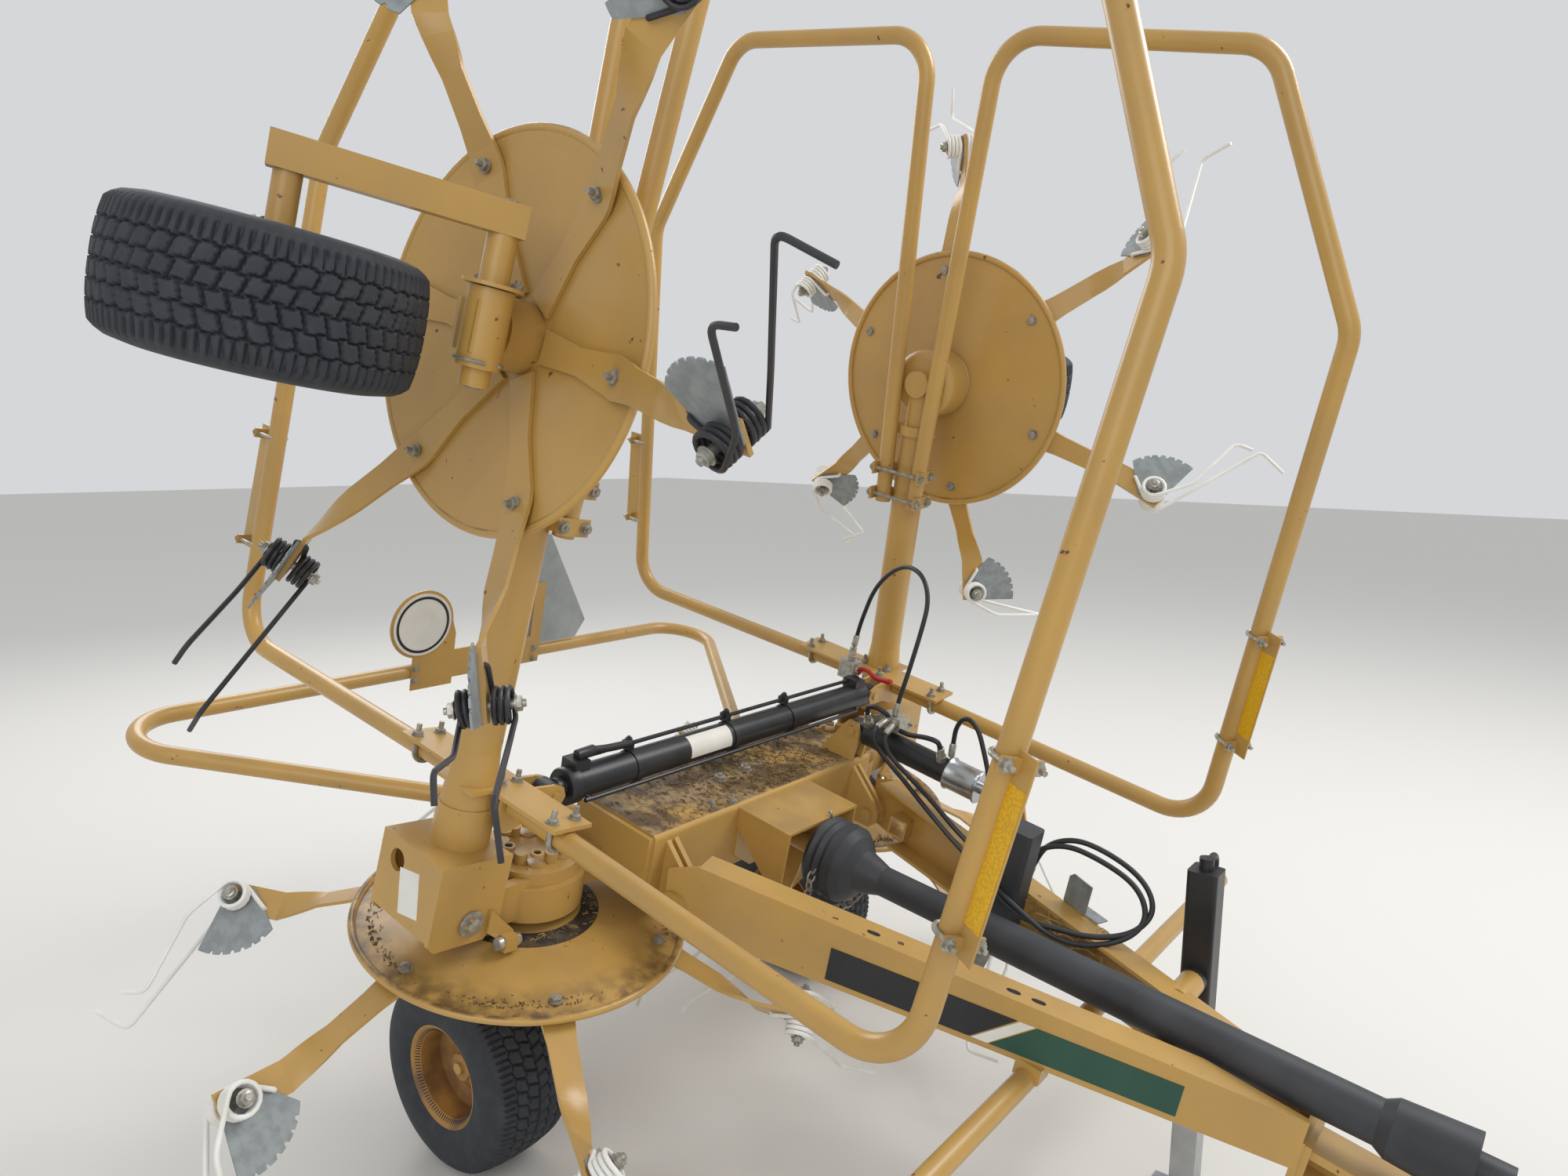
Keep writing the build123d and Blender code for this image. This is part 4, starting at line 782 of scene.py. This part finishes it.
addPiece("cylinderShortHose", [tubeAlong(shortHose, 8.5, 12)], rubberHose, "fold_barrel")
sleeve = lathe([(0, 9), (2, 12), (46, 12), (50, 9)], (44, -505, 980), (0.02, 1, 0.06), 12)
addPiece("cylinderHoseSleeve", [sleeve], blackPaint, "fold_barrel")

valve = {"x": 4.0, "y": 540.0, "low": 958.0, "high": 1010.0}
foot = (valve["x"], valve["y"], valve["low"])
block = slab(rectangle(-24, 24, -20, 20), valve["high"] - valve["low"], foot)
neck = lathe([(0, 13), (14, 13), (15, 11), (30, 11)], (valve["x"], valve["y"], valve["high"]), zWay, 6)
nut = lathe([(0, 11), (26, 11), (27, 15), (40, 15)], np.subtract(foot, (0, 0, 38)), zWay, 6)
stem = lathe([(0, 9), (10, 9)], (valve["x"] + 24, valve["y"], 984), xWay, 12)
addPiece("stopValve", [block, neck, nut, stem], zincBolt, "wing_left", False)
grip = smoothPath([(36, 540, 984), (44, 538, 996), (66, 535, 1000), (100, 530, 992), (140, 524, 998),
                   (156, 522, 1001)])
width = np.interp(np.linspace(0, 1, len(grip)), [0, 0.15, 0.4, 0.9, 1], [9, 6.5, 6.0, 8.0, 6.5])
addPiece("stopValveLever", [tubeAlong(grip, width, 12)], redPaint, "wing_left")
rodEye = [lathe(rectangle(-17, 17, 27, 13), (foldTube["x"], -580, foldTube["z"]), xWay, 28, closed=True),
          lathe([(0, 23), (16, 23), (18, 20)], (foldTube["x"], -560, foldTube["z"]), yWay, 20)]
addPiece("cylinderRodEye", rodEye, blackPaint, "fold_rod")
print("cylinder fittings")

# tilt cylinder: plated sleeve with rolled edges, its hose tails and a pair of steel pipes

tiltAxis = {"rear": np.array([185.0, 345.0, 915.0]), "front": np.array([640.0, 345.0, 905.0])}
tiltTails = {
    "tiltTailRear": [(226, 311, 978), (232, 300, 1000), (256, 296, 1010), (280, 306, 1002), (288, 320, 985)],
    "tiltTailFront": [(447, 311, 973), (440, 300, 990), (410, 296, 990), (360, 306, 975), (318, 326, 965)],
}
way = unit(tiltAxis["front"] - tiltAxis["rear"])
profile = [(284, 30), (284, 40), (287, 42), (291, 40), (294, 38.2), (364, 38.2), (367, 40), (371, 42),
           (374, 40), (374, 30)]
addPiece("tiltSleeve", [lathe(profile, tiltAxis["rear"], way, 40)], plated, "tilt_barrel")
fittings = []
for along in (40.0, 262.0):
    spot = tiltAxis["rear"] + way * along
    fittings.append(lathe([(28, 14), (46, 14)], spot, (0, -0.5, 1), 6))
    fittings.append(lathe([(46, 9), (72, 9), (74, 6)], spot, (0, -0.5, 1), 12))
addPiece("tiltPorts", fittings, zincBolt, "tilt_barrel", False)
for name, points in tiltTails.items():
    addPiece(name, [tubeAlong(smoothPath(points), 6.5, 10)], rubberHose, "tilt_barrel")
bracket = [(172, 926), (206, 926), (240, 950), (322, 962), (322, 972), (262, 972), (180, 945)]
manifold = [slab(rectangle(-34, 26, -22, 22), 34, (296, 334, 962)),
            slab(rectangle(262, 322, 350, 384), 5, (0, 0, 962)),
            slab(bracket, 5, (0, 384, 0), xWay, zWay),
            slab(rectangle(176, 200, 928, 940), 8, (0, 380, 0), xWay, zWay)]
addPiece("hoseManifold", manifold, zincBolt, "frame", False)
print("tilt fittings")

# safety chains on the drive shaft's guard, and a clip

chain = {"link": 26.0, "wide": 8.5, "wire": 2.4}


def chainLinks(points):
    # long rings on a path: centre + long * cos a * along + wide * sin a * across, a quarter turn apart
    path = smoothPath(points, 24)
    run = np.concatenate([[0], np.cumsum(np.linalg.norm(np.diff(path, axis=0), axis=1))])
    spots = np.arange(chain["link"] / 2 - 1.3 * chain["wire"], run[-1], chain["link"] - 2.6 * chain["wire"])
    centres = np.stack([np.interp(spots, run, path[:, i]) for i in range(3)], axis=1)
    along = unit(np.gradient(centres, axis=0))
    a = np.linspace(0, 2 * np.pi, 17)[:, None]
    made = []
    for i, (spot, way) in enumerate(zip(centres, along)):
        side = unit(np.cross(way, (0.3, 0.9, 0.3)))
        across = side if i % 2 else np.cross(way, side)
        loop = spot + chain["link"] / 2 * np.cos(a) * way + chain["wide"] * np.sin(a) * across
        made.append(tubeAlong(loop, chain["wire"], 6))
    return made


upperChain = chainLinks([(352, 26, 824), (372, 20, 800), (392, -40, 778), (404, -86, 742), (408, -96, 700),
                         (404, -70, 660)])
lowerChain = chainLinks([(452, 60, 712), (456, 66, 680), (448, 40, 650), (436, 0, 640), (428, -40, 652),
                         (424, -60, 670)])
addPiece("guardChainUpper", upperChain, dullBolt, "frame")
addPiece("guardChainLower", lowerChain, dullBolt, "frame")
hook = smoothPath([(346, 26, 834), (350, 26, 838), (354, 26, 832), (353, 26, 818), (352, 26, 808)])
addPiece("guardChainHook", [tubeAlong(hook, 3.2, 8)], zincBolt, "frame")
clip = slab(rectangle(-30, 30, -17, 17), 26, (424, -74, 640), *turnAbout(2, 20).T[:2])
addPiece("shaftClip", [clip], enamel, "frame", False)
print("chains")

# drawbar's small pieces: galvanised bent plate and painted shade in the slots of the flange

bracket = {"corner": (862, 226, 802), "along": (0.95, -0.3, 0), "across": (0.3, 0.95, 0), "thick": 3}
slots = {"at": (412.0, 694.0, 742.0), "inset": 26, "rear": 812, "nose": 785, "from": 42, "long": 1179}
corner = np.array(bracket["corner"])
outline = [(0, 0), (62, 0), (62, 66), (10, 70), (0, 60)]
foot = corner - bracket["thick"] * zWay
plates = [slab(outline, bracket["thick"], corner, bracket["along"], zWay),
          slab(rectangle(0, 96, 0, 34), bracket["thick"], foot, bracket["along"], bracket["across"])]
addPiece("hoseBracket", plates, galvanised, "drawbar", False)
slotShades = []
# painted shade: a thin dark oval on the flange for each slot's unlit opening
for along in slots["at"]:
    top = slots["rear"] - (slots["rear"] - slots["nose"]) * (along - slots["from"]) / slots["long"]
    spot = beamStart + beamRun * along + [0, slots["inset"], top - 0.1]
    a = np.radians(np.arange(0, 360, 30))
    oval = np.stack([9 * np.cos(a) + 5 * np.sign(np.cos(a)), 6 * np.sin(a)], axis=1)
    slotShades.append(slab(oval, 0.5, spot, beamRun, np.cross(zWay, beamRun)))
addPiece("flangeSlotShade", slotShades, paintedHoleShade, "drawbar", False)
print("drawbar pieces")

# chaff: short bent stalks lying on the beam, round the inner discs' rims and hubs and in the drawbar's fork;
# and a dark ring of painted shade round each inner gearbox's foot

rng = np.random.default_rng(7)
dish = {"rim": 314.0, "skin": 6.0, "slope": 0.162, "heaps": 26, "shadeIn": 119.0, "shadeOut": 158.0}


def stalks(count, spotOf, size, thick):
    # each stalk is a thin three-sided rod of four points: centre + t * direction, bent by a small random bow
    made = []
    for i in range(count):
        x, y, z, long = *spotOf(i), rng.uniform(0.4, 1.0) * size
        turn = rng.uniform(0, np.pi)
        way = np.array([np.cos(turn), np.sin(turn), rng.normal(0, 0.08)])
        side = np.array([-way[1], way[0], 0]) * rng.normal(0, 0.12)
        t = np.linspace(-0.5, 0.5, 4)[:, None]
        bow = 0.25 - t**2
        path = np.array([x, y, z + thick]) + long * (t * way + bow * side) + zWay * bow * rng.uniform(0, 5)
        made.append(tubeAlong(path, thick * rng.uniform(0.6, 1.2), 3))
    return made


def dishHeight(r):  # the disc's upper face rises evenly from its rim to its hub
    return shafts["innerZ"] + dish["skin"] + (dish["rim"] - r) * dish["slope"]


def onDish(side, a, r):  # a point on the inner disc's upper face: angle and radius to x, y and z
    return r * np.cos(a), side * shafts["innerY"] + r * np.sin(a), dishHeight(r)


def onBeam(i):
    return rng.uniform(0, 190), np.clip(rng.normal(40, 170), -380, 380), 835.2


def atRim(side):
    heaps = rng.uniform(0, 2 * np.pi, dish["heaps"])

    def spot(i):
        return onDish(side, heaps[i % dish["heaps"]] + rng.normal(0, 0.11), 313 - abs(rng.normal(0, 11)))
    return spot


def atHub(side):
    def spot(i):
        return onDish(side, rng.uniform(0, 2 * np.pi), 122 + abs(rng.normal(0, 20)))
    return spot


addPiece("beamChaff", stalks(700, onBeam, 26, 0.6), straw, "frame", False)
addPiece("beamChaffDark", stalks(700, onBeam, 13, 0.9), darkChaff, "frame", False)
for word, side in bothSides.items():
    body = f"rotor_{word}_inner"
    addPiece(f"rimChaff_{word}", stalks(520, atRim(side), 7.5, 0.8), darkChaff, body, False)
    addPiece(f"hubChaff_{word}", stalks(160, atHub(side), 16, 0.9), straw, body, False)
    # painted shade: a dark ring lying on the disc round the gearbox's foot, where the hub is in shadow
    low = [(dishHeight(r) - 2.4, r) for r in (dish["shadeIn"], dish["shadeOut"])]
    high = [(z + 3, r) for z, r in low[::-1]]
    shadeRing = lathe(low + high, (0, side * shafts["innerY"], 0), zWay, 60, closed=True)
    addPiece(f"gearboxShadeRing_{word}", [shadeRing], paintedHubShade, body, False)
tangle = []
for i in range(70):
    start = np.array([rng.uniform(865, 985), rng.uniform(120, 170), rng.uniform(702, 770)])
    knots = start + np.cumsum(rng.normal(0, 26, (5, 3)) * [1.2, 0.8, 0.8], axis=0)
    knots[:, 2] = np.clip(knots[:, 2], 690, 800)
    knots[:, 1] = np.clip(knots[:, 1], 80, 190)
    tangle.append(tubeAlong(smoothPath(knots, 4), 0.9, 3))
addPiece("drawbarHay", tangle, straw, "drawbar", False)
print("chaff")

# wheel leg fittings: adjuster plate beside the pivot bush, its bolts, a wire clip and end caps

leg = {"x": 95.0, "z": -112.0, "plateY": 64.0, "thick": 6.0, "capIn": 92.2, "capOut": 196.0, "clipY": 52.0,
       "clip": 39.0, "bolts": ((-52, 46), (-44, 8), (-14, 56))}
outline = np.vstack([arc(48, -150, 70, 20), (-20, 78), (-74, 60), (-70, 10)])
for name, plan in rotorPlan.items():
    out = plan["out"]
    body = f"wing_{name.split('_')[0]}" if plan["outer"] else "frame"
    corner = (leg["x"], out * leg["plateY"], leg["z"])
    plate = slab(outline, -leg["thick"] * out, corner, xWay, zWay)
    addPiece(f"adjusterPlate_{name}", [plate], enamel, body, False, onRotor(name))
    spots = [(leg["x"] + dx, out * (leg["plateY"] + leg["thick"]), leg["z"] + dz) for dx, dz in leg["bolts"]]
    bolts = boltHeads(spots, out * yWay, 11.0, 6)
    for end in (-out * leg["capIn"], out * leg["capOut"]):
        bolts.append(lathe([(-5, 14), (2, 14), (3, 12)], (leg["x"], end, leg["z"]), np.sign(end) * yWay, 20))
    x, z = arc(leg["clip"], 20, 340, 30).T
    clip = np.stack([leg["x"] + x, np.full(30, -out * leg["clipY"]), leg["z"] + z], axis=1)
    bolts.append(tubeAlong(clip, 2.8, 8))
    addPiece(f"adjusterBolts_{name}", bolts, dullBolt, body, place=onRotor(name))
print("leg fittings")

# floor, light and camera

floorMaterial = bpy.data.materials.new("paleFloor")
floorMaterial.use_nodes = True
inputs = floorMaterial.node_tree.nodes["Principled BSDF"].inputs
inputs["Base Color"].default_value = linear("#D9D7D2")
inputs["Roughness"].default_value = 0.9
bpy.ops.mesh.primitive_plane_add(size=60, location=(0, 0, 0))
floor = bpy.context.object
floor.name = "paleFloor"
floor.data.materials.append(floorMaterial)

world = bpy.data.worlds.new("softSky")
bpy.context.scene.world = world
world.use_nodes = True
inputs = world.node_tree.nodes["Background"].inputs
inputs["Color"].default_value = linear("#F2F4F7")
inputs["Strength"].default_value = 0.75


def setUp(name, data, side, up, back, spot):
    # an object in the scene, turned to three axes and put on a spot, in metres
    made = bpy.data.objects.new(name, data)
    bpy.context.scene.collection.objects.link(made)
    rows = [[*row, p] for row, p in zip(np.stack([side, up, back], axis=1), spot)]
    made.matrix_world = Matrix(rows + [[0, 0, 0, 1]])
    return made


lamps = {
    # place in metres, watts and size
    "key": ((3.0, 3.5, 6.0), 260.0, 3.0),
    "fill": ((3.0, -5.0, 3.5), 90.0, 4.0),
    "back": ((-5.0, 1.5, 4.5), 110.0, 3.0),
}
lampAim = (-0.3, 0, 1.0)
for lampName, (spot, power, size) in lamps.items():
    data = bpy.data.lights.new(lampName, "AREA")
    data.energy, data.size = power, size
    back = unit(np.subtract(spot, lampAim))
    side = unit(np.cross(zWay, back))
    setUp(lampName, data, side, np.cross(back, side), back, spot)

view = {"spot": (1.3536, -1.9504, 1.602), "yaw": 128.08, "pitch": -7.83, "roll": 0.87, "lens": 24.65,
        "sensor": 36.0}
yaw, tip, roll = [np.radians(view[k]) for k in ("yaw", "pitch", "roll")]
ahead = np.array([np.cos(yaw) * np.cos(tip), np.sin(yaw) * np.cos(tip), np.sin(tip)])
right = unit(np.cross(ahead, zWay))
upward = np.cross(right, ahead)
side = np.cos(roll) * right + np.sin(roll) * upward
up = np.cos(roll) * upward - np.sin(roll) * right
cameraData = bpy.data.cameras.new("photoCamera")
cameraData.lens, cameraData.sensor_width = view["lens"], view["sensor"]
bpy.context.scene.camera = setUp("photoCamera", cameraData, side, up, -ahead, view["spot"])
bpy.context.scene.view_settings.view_transform = "Standard"
print("camera set")
